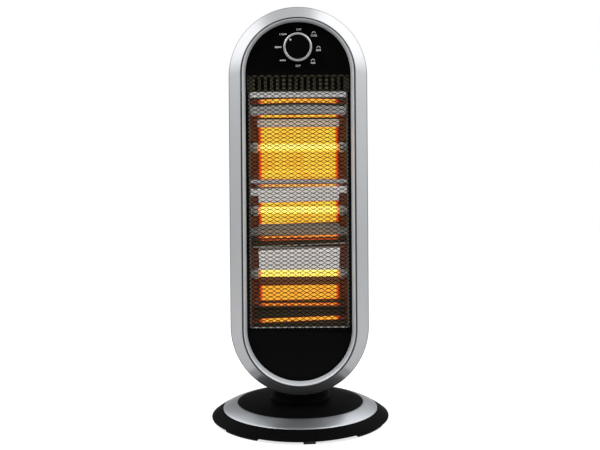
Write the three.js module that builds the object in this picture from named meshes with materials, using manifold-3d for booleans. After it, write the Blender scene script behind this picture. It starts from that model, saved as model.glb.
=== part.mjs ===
// Oscillating halogen tower heater. Millimetres, +Z up, front towards -Y.
// The origin is on the floor, on the axis about which the tower swings.
import * as THREE from "three";
import { mergeVertices } from "three/addons/utils/BufferGeometryUtils.js";
import Module from "manifold-3d";

const wasm = await Module();
wasm.setup();

// ---------------------------------------------------------------- driving dimensions
const GAP = 0.3; // clearance between neighbouring pieces
const FINE = 40; // sides of the large turned pieces
const MEDIUM = 24;
const SMALL = 10;

// Base, a shallow dome on a flat plate
const BASE_R = 130;
const BASE_TOP_Z = 28.5;
const BASE_RIM_Z = 4.8;
const BASE_WALL = 2.6;
const DOME_FLAT_R = 44; // the dome is flat inside this radius
const DOME_EDGE_Z = 5.5; // how low it has fallen at the rim
const DOME_POWER = 2.78; // how sharply it steepens towards the rim
const RING_INSET = 16.5; // from the rim to the trim ring
const RING_WIDE = 20.9;
const RING_THICK = 1.5;
const PLATE_Z = 3.2;
const PLATE_THICK = 2;

// Feet: four long pads and a moulded stub at the front and the back
const FOOT_TURN = 5.5; // degrees, the foot pattern is turned a little against the tower
const FOOT_ANGLES = [47, 133, 227, 313];
const FOOT_SPAN = 28;
const FOOT_WIDE = 13.5;
const STUB_WIDE = 16;
const STUB_LIFT = 0.2; // the stubs end just above the floor
const BASE_SCREW_ANGLES = [0, 90, 180, 270];

// Swivel: a hollow spigot turns in the dome, and a washer carries the tower
const SPIGOT_R = 16;
const SPIGOT_BORE_R = 11;
const SPIGOT_LOW_Z = 16;
const NECK_R = 42.2;
const NECK_FLANGE_R = 43.4;
const NECK_FLANGE_HIGH = 2.6;
const WASHER_IN_R = 22;
const WASHER_OUT_R = 39.5;
const WASHER_THICK = 0.9;

// Swing drive: a motor's crank pin works the slotted arm on the spigot
const SWING_LIMIT = 35; // degrees each way
const MOTOR_X = 48;
const MOTOR_R = 24.5;
const MOTOR_TOP_Z = 16;
const CRANK_THICK = 2;
const CRANK_PIN_R = 2.5;
const ARM_THICK = 2;
const ARM_WIDE = 12;

// Tower: every cross-section is a stadium, two half circles joined by straight sides
const TOWER_LOW_Z = 41.7;
const TOWER_R = 99;
const TOWER_STRAIGHT = 357.3; // between the centres of the half circles
const ARC_STEPS = 16; // steps round each half circle
const FRAME_BACK_Y = -36;
const FRAME_EDGE_Y = -41.5; // where the sloping face starts
const FRAME_CREST_Y = -71;
const FRAME_WALL = 2.4;
const FACE_WIDE = 19.3; // of the sloping face, seen from the front
const CREST_WIDE = 1.6;
const PANEL_LIP = 2; // the frame's lip behind the front panel
const TRIM_WIDE = 4.3;
const PANEL_FACE_Y = -59;
const PANEL_THICK = 2.5;
const WINDOW_INSET = 2.2; // from the trim ring's inner edge to the window
const WINDOW_MARGIN = 0.8; // the window stops just inside the straight sides
const SHELL_STEP = 0.6; // the shell lies just inside the frame's outline
const SHELL_WALL = 2.4;
const SHELL_BACK_Y = 48;

// Guard, vent plate and reflector
const GUARD_THICK = 1.2;
const GUARD_LAP = 3.5; // how far the guard reaches behind the window's edge
const GUARD_GAPS_ACROSS = 5;
const GUARD_GAPS_UP = 12;
const GUARD_STRAND = 1.6;
const GUARD_BORDER = 1.5; // plain edge left inside the window
const VENT_THICK = 1;
const VENT_SLOTS = 15;
const VENT_PITCH = 8.6;
const VENT_SLOT_WIDE = 3.4;
const VENT_SLOT_HIGH = 19.2;
const VENT_SLOT_DROP = 2; // from the window's top edge to the slots
const VENT_SHIFT = 1.5; // the row of slots sits a little right of centre
const VENT_HIGH = 23.5;
const SHEET = 0.8;
const REFLECTOR_BACK_Y = -8;
const TROUGH_DEEP = 36; // from the flat middle of a trough to its lips
const TROUGH_POWER = 6; // how sharply a trough's flanks turn up
const TROUGH_GAP = 13; // left between two troughs for the ridge
const RIDGE_NOSE = 4; // how far the rounded ridges stand out between the troughs
const REFLECTOR_FLARE = 8.5; // how much narrower each side is at the back
const SIDE_FLANGE_WIDE = 3.8; // turned out from the side's front edge, up to the window
const TOP_FLANGE_HIGH = 7; // flat lip under the vent plate
const LOW_FLANGE_HIGH = 1.8; // the same at the foot, above the window's edge
const NOTCH_EDGE = 0.7; // metal left between the side's front edge and a lamp's notch

// Lamps
const LAMPS = 3;
const LAMP_TOP_DROP = 101.2; // from the top of the straight sides to the first lamp
const LAMP_LOW_RISE = 75.1; // from their foot to the last one
const LAMP_FORWARD = 24; // in front of the back of its trough
const QUARTZ_R = 5;
const QUARTZ_BORE_R = 4;
const QUARTZ_BEYOND = 8.5; // how far the tube passes through the reflector's side
const CAP_WALL = 2.2;
const CAP_REACH = 1; // the caps reach this far inside the reflector's back corners
const CAP_LONG = 17;
const COIL_R = 1.7;
const LEAD_R = 0.5;
const LEAD_BARE = 2.5; // between the cap and the wire
const WIRE_R = 1.5;

// Control
const KNOB_RISE = 35.4; // above the centre of the upper half circle
const KNOB_R = 20;
const KNOB_HIGH = 14;
const KNOB_SIDES = 32;
const KNOB_RING_WIDE = 3.2;
const SHAFT_R = 3;
const POINTER_ANGLE = 45; // degrees to the left of straight up

// Handle recess in the back
const GRIP_HALF_WIDE = 50;
const GRIP_RISE = 14; // above the centre of the upper half circle
const GRIP_HIGH = 28;
const GRIP_DEEP = 26;

// Worked out from the above
const rad = THREE.MathUtils.degToRad;
const LOW_CENTRE_Z = TOWER_LOW_Z + TOWER_R;
const TOP_CENTRE_Z = LOW_CENTRE_Z + TOWER_STRAIGHT;
const CREST_R = TOWER_R - FACE_WIDE;
const SKIRT_R = CREST_R - CREST_WIDE; // inner face of the frame
const TRIM_IN_R = SKIRT_R - TRIM_WIDE;
const SHELL_R = TOWER_R - SHELL_STEP;
const WINDOW_HALF_WIDE = TRIM_IN_R - WINDOW_INSET;
const WINDOW_LOW_Z = LOW_CENTRE_Z + WINDOW_MARGIN;
const WINDOW_TOP_Z = TOP_CENTRE_Z - WINDOW_MARGIN;
const PANEL_BACK_Y = PANEL_FACE_Y + PANEL_THICK;
const GUARD_FRONT_Y = PANEL_BACK_Y + GAP;
const GUARD_BACK_Y = GUARD_FRONT_Y + GUARD_THICK;
const STACK_Y = GUARD_BACK_Y + GAP; // front edges of the reflector and the vent plate
const VENT_LOW_Z = WINDOW_TOP_Z - VENT_HIGH;
const LAMP_Y = REFLECTOR_BACK_Y - LAMP_FORWARD;
const LAMP_PITCH = (TOWER_STRAIGHT - LAMP_TOP_DROP - LAMP_LOW_RISE) / (LAMPS - 1);
const LAMP_ZS = Array.from({ length: LAMPS }, (_, i) => TOP_CENTRE_Z - LAMP_TOP_DROP - i * LAMP_PITCH);
const TROUGH_HALF = (LAMP_PITCH - TROUGH_GAP) / 2;
const MOUTH_HALF_WIDE = WINDOW_HALF_WIDE - SIDE_FLANGE_WIDE; // the reflector's, at the front
const REFLECTOR_HALF_WIDE = MOUTH_HALF_WIDE - REFLECTOR_FLARE; // at the back
const QUARTZ_HALF = REFLECTOR_HALF_WIDE + QUARTZ_BEYOND;
const CAP_R = QUARTZ_R + GAP + CAP_WALL;
const CAP_IN_X = REFLECTOR_HALF_WIDE - CAP_REACH;
const CAP_OUT_X = CAP_IN_X + CAP_LONG;
const LEAD_OUT_X = CAP_OUT_X + LEAD_BARE;
const KNOB_Z = TOP_CENTRE_Z + KNOB_RISE;
const GRIP_LOW_Z = TOP_CENTRE_Z + GRIP_RISE;
const RING_OUT_R = BASE_R - RING_INSET;
const RING_IN_R = RING_OUT_R - RING_WIDE;
const PLATE_R = BASE_R - BASE_WALL - 2;
const FOOT_OUT_R = PLATE_R + 1.1;
const FOOT_IN_R = FOOT_OUT_R - FOOT_WIDE;
const BASE_SCREW_R = RING_IN_R - 8.6;
const PLATE_TOP_Z = PLATE_Z + PLATE_THICK;
const NECK_LOW_Z = BASE_TOP_Z + 0.4;
const WASHER_SEAT_Z = NECK_LOW_Z - WASHER_THICK - 2 * GAP;
const HUB_UNDER_Z = BASE_TOP_Z - BASE_WALL - RING_THICK;
const CRANK_R = MOTOR_X * Math.sin(rad(SWING_LIMIT)); // throw that gives the swing
const CRANK_Z = MOTOR_TOP_Z + GAP;
const ARM_Z = CRANK_Z + CRANK_THICK + 3 * GAP;

// ---------------------------------------------------------------- materials
const finish = (color, roughness, metalness) =>
  new THREE.MeshStandardMaterial({ color, roughness, metalness });
const silver = finish(0xb4b6ba, 0.35, 0.6);
const chrome = finish(0xd0d4d8, 0.12, 1);
const glossBlack = finish(0x060607, 0.12, 0);
const mattBlack = finish(0x0c0c0d, 0.5, 0);
const guardMetal = finish(0x2a2622, 0.45, 0.8);
const mirrorSheet = finish(0xc9c8c4, 0.12, 1);
const steel = finish(0x9a9a98, 0.35, 1);
const quartz = finish(0xffd080, 0.05, 0);
const tungsten = finish(0xffa040, 0.4, 1);
const ceramic = finish(0xb9b6ab, 0.7, 0);
const rubber = finish(0x101010, 0.85, 0);
const acetal = finish(0xe8e6de, 0.4, 0);
const insulation = finish(0x8c2a1e, 0.6, 0);
const printWhite = finish(0xdadada, 0.5, 0);

// ---------------------------------------------------------------- building blocks
const heater = new THREE.Group();

function piece(name, geometry, material) {
  const mesh = new THREE.Mesh(closed(geometry), material);
  mesh.name = name;
  heater.add(mesh);
  return mesh;
}

// A geometry with merged vertices and its faces pointing out.
function closed(geometry) {
  const bare = geometry.index ? geometry.toNonIndexed() : geometry.clone();
  for (const key of Object.keys(bare.attributes)) {
    if (key !== "position") bare.deleteAttribute(key);
  }
  const merged = mergeVertices(bare, 1e-4);
  const p = merged.attributes.position.array;
  const kept = [];
  let volume = 0;
  for (let i = 0; i < merged.index.count; i += 3) {
    const [a, b, c] = [0, 1, 2].map((k) => merged.index.getX(i + k));
    if (a === b || b === c || a === c) continue;
    kept.push(a, b, c);
    const [u, v, w] = [a, b, c].map((k) => new THREE.Vector3().fromArray(p, 3 * k));
    volume += u.dot(v.cross(w));
  }
  if (volume < 0) kept.reverse();
  merged.setIndex(kept);
  return merged;
}

function solid(geometry) {
  const g = closed(geometry);
  return new wasm.Manifold(
    new wasm.Mesh({
      numProp: 3,
      vertProperties: new Float32Array(g.attributes.position.array),
      triVerts: new Uint32Array(g.index.array),
    }),
  );
}

function geometryOf(manifold) {
  const mesh = manifold.getMesh();
  return new THREE.BufferGeometry()
    .setAttribute("position", new THREE.BufferAttribute(mesh.vertProperties, 3))
    .setIndex(new THREE.BufferAttribute(mesh.triVerts, 1));
}

const cut = (from, ...tools) =>
  geometryOf(tools.reduce((a, t) => a.subtract(solid(t)), solid(from)));
const join = (first, ...others) =>
  geometryOf(others.reduce((a, t) => a.add(solid(t)), solid(first)));
const common = (a, b) => geometryOf(solid(a).intersect(solid(b)));

// A profile of [radius, height] turned about Z.
function turned(profile, sides) {
  const points = profile.map(([r, h]) => new THREE.Vector2(r, h));
  return new THREE.LatheGeometry(points, sides).rotateX(Math.PI / 2);
}
// The same along X, and facing the front (height towards -Y).
const turnedAlongX = (profile, sides) => turned(profile, sides).rotateY(Math.PI / 2);
const turnedForward = (profile, sides) => turned(profile, sides).rotateX(Math.PI / 2);

// A closed ring profile: the last point repeats the first.
const ringProfile = (points) => [...points, points[0]];

function box(x0, x1, y0, y1, z0, z1) {
  const g = new THREE.BoxGeometry(x1 - x0, y1 - y0, z1 - z0);
  return g.translate((x0 + x1) / 2, (y0 + y1) / 2, (z0 + z1) / 2);
}

const rod = (r, z0, z1, sides = SMALL) =>
  turned([[0, z0], [r, z0], [r, z1], [0, z1]], sides);
const rodForward = (r, y0, y1, sides = SMALL) =>
  rod(r, y0, y1, sides).rotateX(-Math.PI / 2);

// A flat plate in the XZ plane, from its outline of [x, z] points and its holes.
function facePlate(outline, holes, yFront, yBack) {
  const shape = new THREE.Shape(outline.map(([x, z]) => new THREE.Vector2(x, z)));
  for (const hole of holes) {
    shape.holes.push(new THREE.Path(hole.map(([x, z]) => new THREE.Vector2(x, z))));
  }
  const g = new THREE.ExtrudeGeometry(shape, { depth: yBack - yFront, bevelEnabled: false });
  return g.rotateX(Math.PI / 2).translate(0, yBack, 0);
}

const rectangle = (x0, x1, z0, z1) => [[x0, z0], [x1, z0], [x1, z1], [x0, z1]];

// The stadium of half width r that every section of the tower follows.
function stadium(r) {
  const points = [];
  for (const [centre, start] of [[TOP_CENTRE_Z, 0], [LOW_CENTRE_Z, Math.PI]]) {
    for (let i = 0; i <= ARC_STEPS; i++) {
      const a = start + (Math.PI * i) / ARC_STEPS;
      points.push([r * Math.cos(a), centre + r * Math.sin(a)]);
    }
  }
  return points;
}

// Stadium sections of [half width, y] skinned together: a solid, or a ring if it closes on itself.
function stadiumSkin(sections, isRing) {
  const loops = sections.map(([r, y]) => stadium(r).map(([x, z]) => [x, y, z]));
  const n = loops[0].length;
  const index = [];
  const spans = isRing ? loops.length : loops.length - 1;
  for (let s = 0; s < spans; s++) {
    const next = (s + 1) % loops.length;
    for (let i = 0; i < n; i++) {
      const j = (i + 1) % n;
      index.push(s * n + i, s * n + j, next * n + j, s * n + i, next * n + j, next * n + i);
    }
  }
  if (!isRing) {
    const last = (loops.length - 1) * n;
    for (let i = 1; i < n - 1; i++) {
      index.push(0, i + 1, i, last, last + i, last + i + 1);
    }
  }
  return new THREE.BufferGeometry()
    .setAttribute("position", new THREE.Float32BufferAttribute(loops.flat(2), 3))
    .setIndex(index);
}

// A round wire or lead along a smooth route.
function wire(route, r, steps, sides = 8) {
  const curve = new THREE.CatmullRomCurve3(route.map((p) => new THREE.Vector3(...p)), false, "centripetal");
  const ring = new THREE.Shape();
  ring.absarc(0, 0, r, 0, 2 * Math.PI);
  return new THREE.ExtrudeGeometry(ring, {
    steps,
    curveSegments: sides / 2,
    extrudePath: curve,
    bevelEnabled: false,
  });
}

// ---------------------------------------------------------------- base
const domeZ = (r) => {
  const out = Math.max(0, (r - DOME_FLAT_R) / (BASE_R - DOME_FLAT_R));
  return BASE_TOP_Z - (BASE_TOP_Z - DOME_EDGE_Z) * out ** DOME_POWER;
};
const radii = (from, to, steps) =>
  Array.from({ length: steps + 1 }, (_, i) => from + ((to - from) * i) / steps);

function baseCover() {
  const seatR = WASHER_OUT_R + GAP;
  const holeR = SPIGOT_R + 0.5;
  const rimInR = BASE_R - BASE_WALL;
  const ringSeat = RING_THICK + GAP;
  const outside = [
    [holeR, WASHER_SEAT_Z],
    [seatR, WASHER_SEAT_Z],
    [seatR, BASE_TOP_Z],
    ...radii(DOME_FLAT_R, RING_IN_R - GAP, 3).map((r) => [r, domeZ(r)]),
    ...radii(RING_IN_R - GAP, RING_OUT_R + GAP, 3).map((r) => [r, domeZ(r) - ringSeat]),
    ...radii(RING_OUT_R + GAP, BASE_R, 2).map((r) => [r, domeZ(r)]),
    [BASE_R, BASE_RIM_Z],
    [rimInR, BASE_RIM_Z],
  ];
  // The wall drops under the trim ring's seat, and thickens again round the swivel.
  const inside = [
    ...radii(rimInR, RING_IN_R - 3, 3).map((r) => [
      r, Math.max(domeZ(r) - BASE_WALL - ringSeat, BASE_RIM_Z + 0.2),
    ]),
    ...radii(RING_IN_R - 8, DOME_FLAT_R, 2).map((r) => [r, domeZ(r) - BASE_WALL]),
    [DOME_FLAT_R - 2, HUB_UNDER_Z],
    [holeR, HUB_UNDER_Z],
  ];
  const cover = turned(ringProfile([...outside, ...inside]), FINE);
  const bossFoot = PLATE_TOP_Z + GAP;
  const bosses = [];
  const bores = [];
  for (const a of BASE_SCREW_ANGLES) {
    const [x, y] = [BASE_SCREW_R * Math.sin(rad(a + 45)), BASE_SCREW_R * Math.cos(rad(a + 45))];
    const bossTop = domeZ(BASE_SCREW_R + 4) - 1;
    bosses.push(rod(4, bossFoot, bossTop).translate(x, y, 0));
    bores.push(rod(1.9, bossFoot - 1, bossTop - 3).translate(x, y, 0));
  }
  return cut(join(cover, ...bosses), ...bores, glandHole());
}

const GLAND_R = 3.8;
const GLAND_BORE_R = 2.8;
const GLAND_Z = PLATE_TOP_Z + GLAND_R + 2 * GAP;
const GLAND_OUT_Y = BASE_R - 1;
const GLAND_IN_Y = RING_OUT_R + 3 * GAP; // it starts outside the trim ring
const glandHole = () => rodForward(GLAND_R + GAP, GLAND_IN_Y - 8, BASE_R + 4, MEDIUM).translate(0, 0, GLAND_Z);

function cordGland() {
  const profile = [
    [GLAND_BORE_R, GLAND_IN_Y],
    [GLAND_R, GLAND_IN_Y],
    [GLAND_R, GLAND_OUT_Y],
    [GLAND_BORE_R, GLAND_OUT_Y],
  ];
  return turned(ringProfile(profile), MEDIUM).rotateX(-Math.PI / 2).translate(0, 0, GLAND_Z);
}

function baseTrimRing() {
  const over = radii(RING_IN_R, RING_OUT_R, 3).map((r) => [r, domeZ(r) + 0.3]);
  const under = radii(RING_OUT_R, RING_IN_R, 3).map((r) => [r, domeZ(r) - RING_THICK]);
  return turned(ringProfile([...over, ...under]), FINE);
}

// Foot positions are measured from the front, clockwise seen from above.
const footTurn = (degrees) => rad(degrees + FOOT_TURN);

function basePlate() {
  const stubs = [0, 180].map((a) =>
    box(-STUB_WIDE / 2, STUB_WIDE / 2, -FOOT_OUT_R, -FOOT_OUT_R + 9, STUB_LIFT, PLATE_Z + 0.5)
      .rotateZ(footTurn(a)));
  const stubHolds = [0, 180].map((a) =>
    box(-STUB_WIDE / 2, STUB_WIDE / 2, -FOOT_OUT_R, -FOOT_OUT_R + 9, PLATE_Z + 0.4, PLATE_Z + 0.9)
      .rotateZ(footTurn(a)));
  const disc = rod(PLATE_R, PLATE_Z, PLATE_TOP_Z, FINE);
  const holes = BASE_SCREW_ANGLES.map((a) =>
    rod(1.9, 0, 9).translate(BASE_SCREW_R * Math.sin(rad(a + 45)), BASE_SCREW_R * Math.cos(rad(a + 45)), 0));
  const plungerHole = rod(TIP_R + GAP, 0, 9, MEDIUM).translate(TIP_X, TIP_Y, 0);
  return cut(join(disc, ...stubs, ...stubHolds), ...holes, plungerHole);
}

function footPad(degrees) {
  const shape = new THREE.Shape();
  const half = rad(FOOT_SPAN / 2);
  shape.absarc(0, 0, FOOT_OUT_R, -half, half, false);
  shape.absarc(0, 0, FOOT_IN_R, half, -half, true);
  const g = new THREE.ExtrudeGeometry(shape, { depth: PLATE_Z - GAP, curveSegments: 6, bevelEnabled: false });
  return g.rotateZ(-Math.PI / 2 + footTurn(degrees));
}

// A self-tapping screw pointing up, its head's underside at the height given.
function screwUp(headZ, long) {
  const profile = [
    [0, headZ - 1.4], [3.2, headZ - 1.4], [3.2, headZ], [1.6, headZ], [1.6, headZ + long], [0, headZ + long],
  ];
  return turned(profile, SMALL);
}

// Tip-over switch: the floor holds its plunger in
const TIP_X = -58;
const TIP_Y = 26;
const TIP_R = 5;
const TIP_TRAVEL = 5;

piece("base_cover", baseCover(), glossBlack);
piece("base_trim_ring", baseTrimRing(), silver);
piece("base_plate", basePlate(), mattBlack);
FOOT_ANGLES.forEach((a, i) => piece("foot_pad_" + (i + 1), footPad(a), rubber));
BASE_SCREW_ANGLES.forEach((a, i) => {
  const screw = screwUp(PLATE_Z - GAP, 9);
  screw.translate(BASE_SCREW_R * Math.sin(rad(a + 45)), BASE_SCREW_R * Math.cos(rad(a + 45)), 0);
  piece("base_screw_" + (i + 1), screw, steel);
});
piece("cord_gland", cordGland(), mattBlack);

const tipCollarZ = PLATE_TOP_Z + GAP + TIP_TRAVEL;
piece(
  "tip_switch_plunger",
  turned(
    [
      [0, 0.1], [TIP_R, 0.1], [TIP_R, tipCollarZ],
      [TIP_R + 1.5, tipCollarZ], [TIP_R + 1.5, tipCollarZ + 1.5], [0, tipCollarZ + 1.5],
    ],
    16,
  ).translate(TIP_X, TIP_Y, 0),
  mattBlack,
);
// The switch stands on two legs beside its plunger.
piece(
  "tip_switch",
  join(
    box(-13, 13, -6, 6, tipCollarZ + 1.5 + GAP, tipCollarZ + 9),
    box(-13, -10, -6, 6, PLATE_TOP_Z + GAP, tipCollarZ + 3),
    box(10, 13, -6, 6, PLATE_TOP_Z + GAP, tipCollarZ + 3),
  ).translate(TIP_X, TIP_Y, 0),
  acetal,
);

// ---------------------------------------------------------------- swing drive
piece(
  "swing_motor",
  join(
    rod(MOTOR_R, PLATE_TOP_Z + GAP, MOTOR_TOP_Z, MEDIUM),
    box(-MOTOR_R - 6, MOTOR_R + 6, -4, 4, PLATE_TOP_Z + GAP, PLATE_TOP_Z + GAP + 1.5).rotateZ(rad(60)),
    rod(SHAFT_R, MOTOR_TOP_Z - 1, CRANK_Z + CRANK_THICK, SMALL),
  ).translate(MOTOR_X, 0, 0),
  steel,
);

function crank() {
  const hub = rod(6, CRANK_Z, CRANK_Z + CRANK_THICK, MEDIUM);
  const bar = box(0, CRANK_R, -4, 4, CRANK_Z, CRANK_Z + CRANK_THICK);
  const eye = rod(4, CRANK_Z, CRANK_Z + CRANK_THICK, 16).translate(CRANK_R, 0, 0);
  const pin = rod(CRANK_PIN_R, CRANK_Z + 1, ARM_Z - GAP, 16).translate(CRANK_R, 0, 0);
  return cut(join(hub, bar, eye, pin), rod(SHAFT_R + GAP, CRANK_Z - 1, CRANK_Z + CRANK_THICK + 1, 16))
    .translate(MOTOR_X, 0, 0);
}
piece("swing_crank", crank(), steel);

// The arm's slot takes the pin at its nearest and furthest from the swing axis.
function swingArm() {
  const tip = MOTOR_X + CRANK_R + CRANK_PIN_R + 4;
  const slotIn = MOTOR_X - CRANK_R - CRANK_PIN_R;
  const slotHalf = CRANK_PIN_R + 0.4;
  const hub = rod(SPIGOT_R + 5, ARM_Z, ARM_Z + ARM_THICK, MEDIUM);
  const bar = box(0, tip, -ARM_WIDE / 2, ARM_WIDE / 2, ARM_Z, ARM_Z + ARM_THICK);
  const slotFrom = Math.max(slotIn, SPIGOT_R + 4);
  const slot = box(slotFrom, tip - 3, -slotHalf, slotHalf, ARM_Z - 1, ARM_Z + ARM_THICK + 1);
  return cut(join(hub, bar), slot, rod(SPIGOT_R + GAP, ARM_Z - 1, ARM_Z + ARM_THICK + 1, MEDIUM));
}
piece("swing_arm", swingArm(), steel);

const retainerZ = ARM_Z + ARM_THICK + GAP;
piece(
  "swivel_retainer",
  turned(
    ringProfile([
      [SPIGOT_R + GAP, retainerZ],
      [SPIGOT_R + 7, retainerZ],
      [SPIGOT_R + 7, HUB_UNDER_Z - GAP],
      [SPIGOT_R + GAP, HUB_UNDER_Z - GAP],
    ]),
    MEDIUM,
  ),
  steel,
);
piece(
  "swivel_washer",
  turned(
    ringProfile([
      [WASHER_IN_R, WASHER_SEAT_Z + GAP],
      [WASHER_OUT_R, WASHER_SEAT_Z + GAP],
      [WASHER_OUT_R, WASHER_SEAT_Z + GAP + WASHER_THICK],
      [WASHER_IN_R, WASHER_SEAT_Z + GAP + WASHER_THICK],
    ]),
    FINE,
  ),
  acetal,
);

// ---------------------------------------------------------------- tower: shells
// How far the shell has drawn in, and how far that is from the flat back.
const SHELL_CORNER = [[0, 56], [2, 36], [6.9, 20], [15.4, 8], [25.4, 2], [36.4, 0]];
const shellSections = [
  [SHELL_R, FRAME_BACK_Y + GAP],
  ...SHELL_CORNER.map(([inset, short]) => [SHELL_R - inset, SHELL_BACK_Y - short]),
];
const SHELL_FLAT_R = shellSections.at(-1)[0];
const shellOutside = (grow) =>
  stadiumSkin(shellSections.map(([r, y]) => [r + grow, y + Math.max(grow, 0)]), false);

// Everything of the tower that the neck must stay clear of.
const towerEnvelope = () =>
  join(
    shellOutside(GAP),
    stadiumSkin(
      [[CREST_R + GAP, FRAME_CREST_Y - GAP], [TOWER_R + GAP, FRAME_EDGE_Y], [TOWER_R + GAP, 0]],
      false,
    ),
  );

const SCREW_X = TOWER_R - 10;
const SCREW_ZS = [LOW_CENTRE_Z + 49, TOP_CENTRE_Z - 58];
const SCREW_HEAD_Y = -20;
const screwPlaces = [-1, 1].flatMap((side) => SCREW_ZS.map((z) => [side * SCREW_X, z]));
const NECK_SCREW_X = 27;
const neckScrewZ = LOW_CENTRE_Z - Math.sqrt((SHELL_R - SHELL_WALL) ** 2 - (NECK_SCREW_X + 5) ** 2) + 1.5;

function rearShell() {
  const inner = stadiumSkin(
    [
      [SHELL_R - SHELL_WALL, FRAME_BACK_Y - 5],
      ...shellSections.slice(1, -1).map(([r, y]) => [r - SHELL_WALL, y - 1]),
      [SHELL_FLAT_R - 1, SHELL_BACK_Y - SHELL_WALL],
    ],
    false,
  );
  const hollow = cut(shellOutside(0), inner);
  const posts = screwPlaces.map(([x, z]) =>
    rodForward(5.5, FRAME_BACK_Y + GAP, 36, SMALL).translate(x, 0, z));
  const neckPads = [-1, 1].map((s) =>
    rod(5, TOWER_LOW_Z, neckScrewZ - GAP).translate(s * NECK_SCREW_X, 0, 0));
  const gripWalls = box(
    -GRIP_HALF_WIDE - 2.5, GRIP_HALF_WIDE + 2.5,
    SHELL_BACK_Y - GRIP_DEEP - 2.5, SHELL_BACK_Y - 1,
    GRIP_LOW_Z - 2.5, GRIP_LOW_Z + GRIP_HIGH + 2.5,
  );
  const walls = common(join(gripWalls, ...posts, ...neckPads), shellOutside(0));
  const bores = screwPlaces.flatMap(([x, z]) => [
    rodForward(2.2, FRAME_BACK_Y - 5, 60).translate(x, 0, z),
    rodForward(4, SCREW_HEAD_Y, 60).translate(x, 0, z),
  ]);
  const grip = box(
    -GRIP_HALF_WIDE, GRIP_HALF_WIDE, SHELL_BACK_Y - GRIP_DEEP, 60, GRIP_LOW_Z, GRIP_LOW_Z + GRIP_HIGH,
  );
  const vents = rearVents();
  const neckHoles = [-1, 1].map((s) => rod(2.2, 30, 70).translate(s * NECK_SCREW_X, 0, 0));
  return cut(join(hollow, walls), ...bores, grip, ...vents, ...neckHoles, rod(SPIGOT_BORE_R, 30, 70, MEDIUM));
}

// Two banks of slots across the flat back, low for the cool air and high for the warm.
const REAR_SLOT_PITCH = 13;
const REAR_SLOTS = 7;
const REAR_SLOT_WIDE = 4;
const REAR_SLOT_HIGH = 62;
const REAR_BANK_ZS = [LOW_CENTRE_Z + 7, TOP_CENTRE_Z - 70];
function rearVents() {
  return REAR_BANK_ZS.flatMap((z) =>
    Array.from({ length: REAR_SLOTS }, (_, i) => {
      const x = (i - (REAR_SLOTS - 1) / 2) * REAR_SLOT_PITCH;
      const halfWide = REAR_SLOT_WIDE / 2;
      return box(x - halfWide, x + halfWide, SHELL_BACK_Y - 6, SHELL_BACK_Y + 4, z, z + REAR_SLOT_HIGH);
    }));
}

function frontFrame() {
  const inBack = TOWER_R - FRAME_WALL;
  const skirtOut = SKIRT_R + 2;
  const ring = stadiumSkin(
    [
      [TOWER_R, FRAME_BACK_Y],
      [TOWER_R, FRAME_EDGE_Y + 2.5],
      [TOWER_R - 1, FRAME_EDGE_Y],
      [CREST_R, FRAME_CREST_Y],
      [SKIRT_R, FRAME_CREST_Y],
      [SKIRT_R, PANEL_BACK_Y + GAP],
      [SKIRT_R - PANEL_LIP, PANEL_BACK_Y + GAP],
      [SKIRT_R - PANEL_LIP, PANEL_BACK_Y + 1.8],
      [skirtOut, PANEL_BACK_Y + 1.8],
      [skirtOut, FRAME_CREST_Y + 5],
      [inBack, FRAME_EDGE_Y + 1],
      [inBack, FRAME_BACK_Y],
    ],
    true,
  );
  const bosses = screwPlaces.map(([x, z]) =>
    rodForward(4.4, FRAME_BACK_Y - 15, FRAME_BACK_Y - GAP).translate(x, 0, z));
  const bores = screwPlaces.map(([x, z]) =>
    rodForward(2.1, FRAME_BACK_Y - 12, FRAME_BACK_Y + 5).translate(x, 0, z));
  return cut(join(ring, ...bosses), ...bores);
}

function trimRing() {
  const out = SKIRT_R - GAP;
  return stadiumSkin(
    [
      [out, FRAME_CREST_Y - 0.2],
      [out - 1, FRAME_CREST_Y - 0.2],
      [TRIM_IN_R, PANEL_FACE_Y - 1],
      [TRIM_IN_R, PANEL_FACE_Y - GAP],
      [out, PANEL_FACE_Y - GAP],
    ],
    true,
  );
}

const circle = (r, cx, cz, sides) =>
  Array.from({ length: sides }, (_, i) => {
    const a = (2 * Math.PI * i) / sides;
    return [cx + r * Math.cos(a), cz + r * Math.sin(a)];
  });

function frontPanel() {
  const window = rectangle(-WINDOW_HALF_WIDE, WINDOW_HALF_WIDE, WINDOW_LOW_Z, WINDOW_TOP_Z);
  const shaftHole = circle(SHAFT_R + 2, 0, KNOB_Z, 16);
  return facePlate(stadium(SKIRT_R - GAP), [window, shaftHole], PANEL_FACE_Y, PANEL_BACK_Y);
}

function neck() {
  const high = LOW_CENTRE_Z;
  const stepZ = NECK_LOW_Z + NECK_FLANGE_HIGH;
  const profile = [
    [SPIGOT_BORE_R, SPIGOT_LOW_Z],
    [SPIGOT_R, SPIGOT_LOW_Z],
    [SPIGOT_R, NECK_LOW_Z],
    [NECK_FLANGE_R, NECK_LOW_Z],
    [NECK_FLANGE_R, stepZ],
    [NECK_R, stepZ + 1],
    [NECK_R, high],
    [SPIGOT_BORE_R, high],
  ];
  const blank = turned(ringProfile(profile), FINE);
  const screwBores = [-1, 1].map((s) => rod(1.9, 34, 70).translate(s * NECK_SCREW_X, 0, 0));
  return cut(blank, towerEnvelope(), ...screwBores);
}

function neckScrew(side) {
  const profile = [
    [0, 36], [1.6, 36], [1.6, neckScrewZ], [3.2, neckScrewZ], [3.2, neckScrewZ + 1.6], [0, neckScrewZ + 1.6],
  ];
  return turned(profile, SMALL).translate(side * NECK_SCREW_X, 0, 0);
}

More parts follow.
